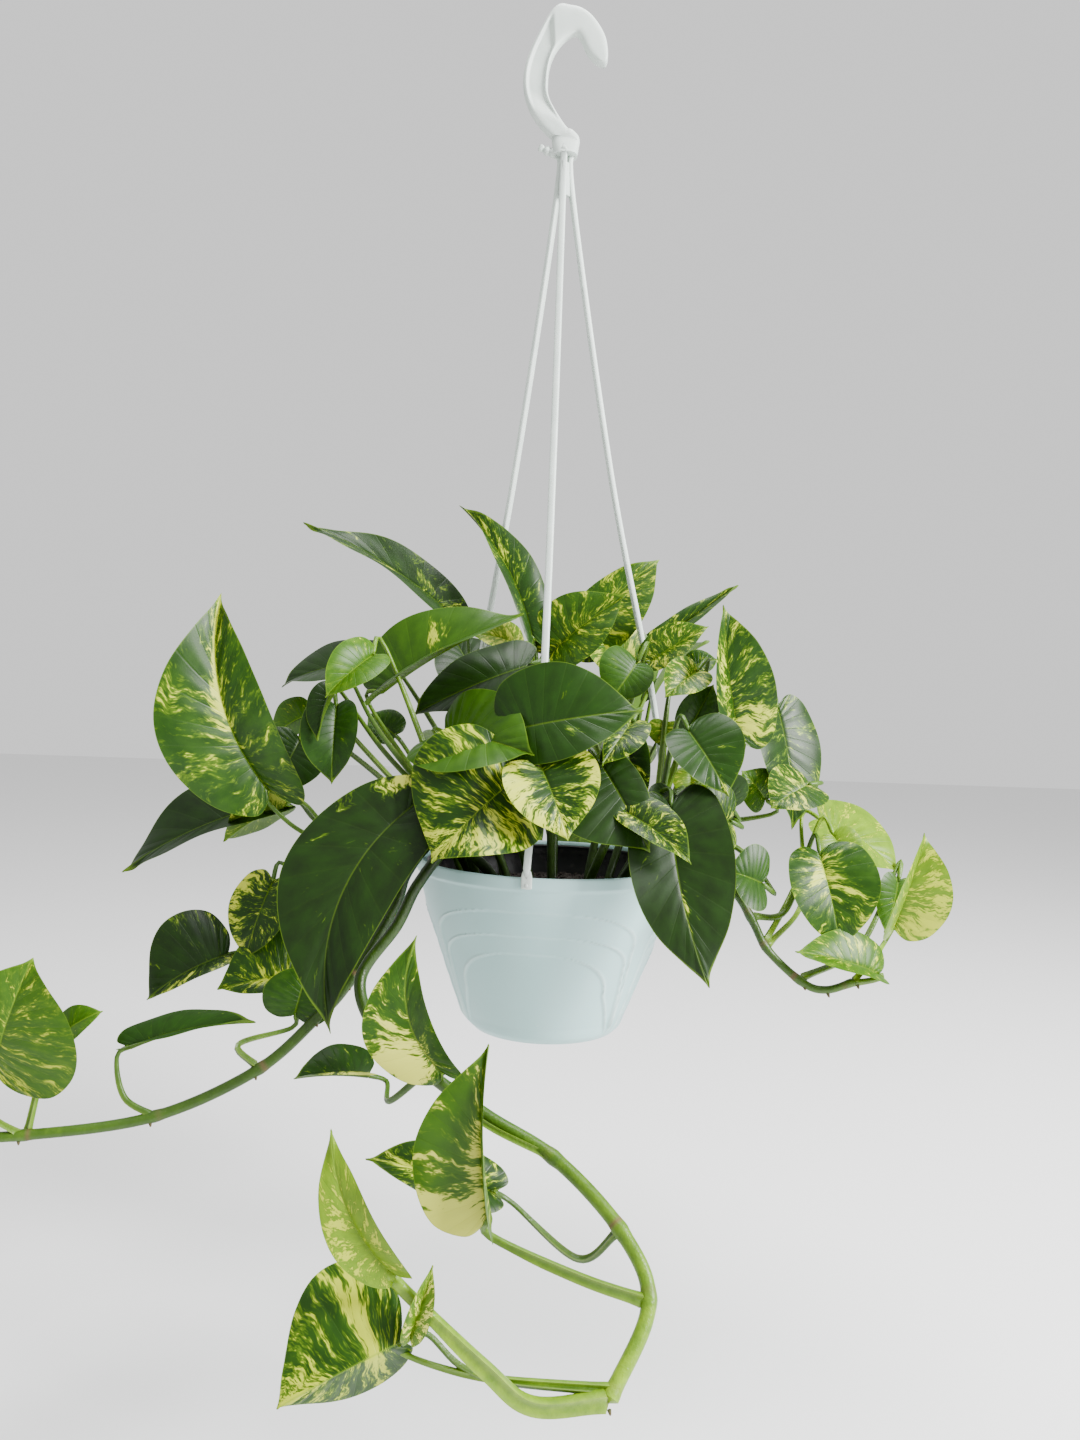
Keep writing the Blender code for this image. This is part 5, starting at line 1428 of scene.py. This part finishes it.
def hanger(paint):
    """The one-piece hanger: hook, collar, web between the straps, moulding nub and three straps."""
    shape = Shape()
    axis = np.array([COLLAR_X, 0, 0])
    hook(shape)
    collar(shape, axis)
    web(shape, axis)
    nub(shape)
    for azimuth, bulges in STRAPS:
        strap(shape, azimuth, bulges)
    dress(shape.piece("hanger_fine", paint, MOULDED_EDGE), "hanger_plastic", "hanger")


# Stage

def camera():
    """The camera at the photograph's viewpoint."""
    data = bpy.data.cameras.new("camera")
    data.lens = CAMERA_LENS
    data.sensor_width = CAMERA_SENSOR
    data.clip_start = CAMERA_NEAR
    eye = bpy.data.objects.new("camera", data)
    bpy.context.scene.collection.objects.link(eye)
    level = Matrix.Rotation(math.radians(90 + CAMERA_PITCH), 4, "X")
    roll = Matrix.Rotation(math.radians(CAMERA_ROLL), 4, "Z")
    eye.matrix_world = Matrix.Translation(CAMERA_PLACE) @ level @ roll
    bpy.context.scene.camera = eye


def area_light(name, place, size, power):
    """A square soft light at a place, turned to the plant."""
    data = bpy.data.lights.new(name, "AREA")
    data.size = size
    data.energy = power
    lamp = bpy.data.objects.new(name, data)
    bpy.context.scene.collection.objects.link(lamp)
    aim = (Vector(LIGHT_TARGET) - Vector(place)).to_track_quat("-Z", "Y")
    lamp.matrix_world = Matrix.Translation(place) @ aim.to_matrix().to_4x4()


def stage():
    """A plain pale floor well below the leaves, white surroundings, and soft light from right and above."""
    mesh = bpy.data.meshes.new("floor")
    signs = ((-1, -1), (1, -1), (1, 1), (-1, 1))
    corners = [(x * FLOOR_REACH, y * FLOOR_REACH, -FLOOR_DROP) for x, y in signs]
    mesh.from_pydata(corners, [], [(0, 1, 2, 3)])
    mesh.materials.append(Paint("pale_floor").finish(FLOOR_GREY, 0.9))
    floor = bpy.data.objects.new("floor", mesh)
    bpy.context.scene.collection.objects.link(floor)
    world = bpy.data.worlds.new("white_room")
    bpy.context.scene.world = world
    world.use_nodes = True
    backdrop = world.node_tree.nodes["Background"]
    backdrop.inputs["Color"].default_value = (1, 1, 1, 1)
    backdrop.inputs["Strength"].default_value = 1.0
    for name, (place, size, power) in LIGHTS.items():
        area_light(name, place, size, power)


def main():
    """Dress every piece of the part, then light it and look at it from the photograph's place."""
    camera()
    blade_paint = leaf_finish()
    stem_paint = stem_finish()
    for name, stem in {**STEMS, **back_stems()}.items():
        leafy_stem(name, stem, blade_paint, stem_paint)
    pot(pot_finish())
    liner(liner_finish())
    soil(soil_finish())
    hanger(hanger_finish())
    stage()


main()
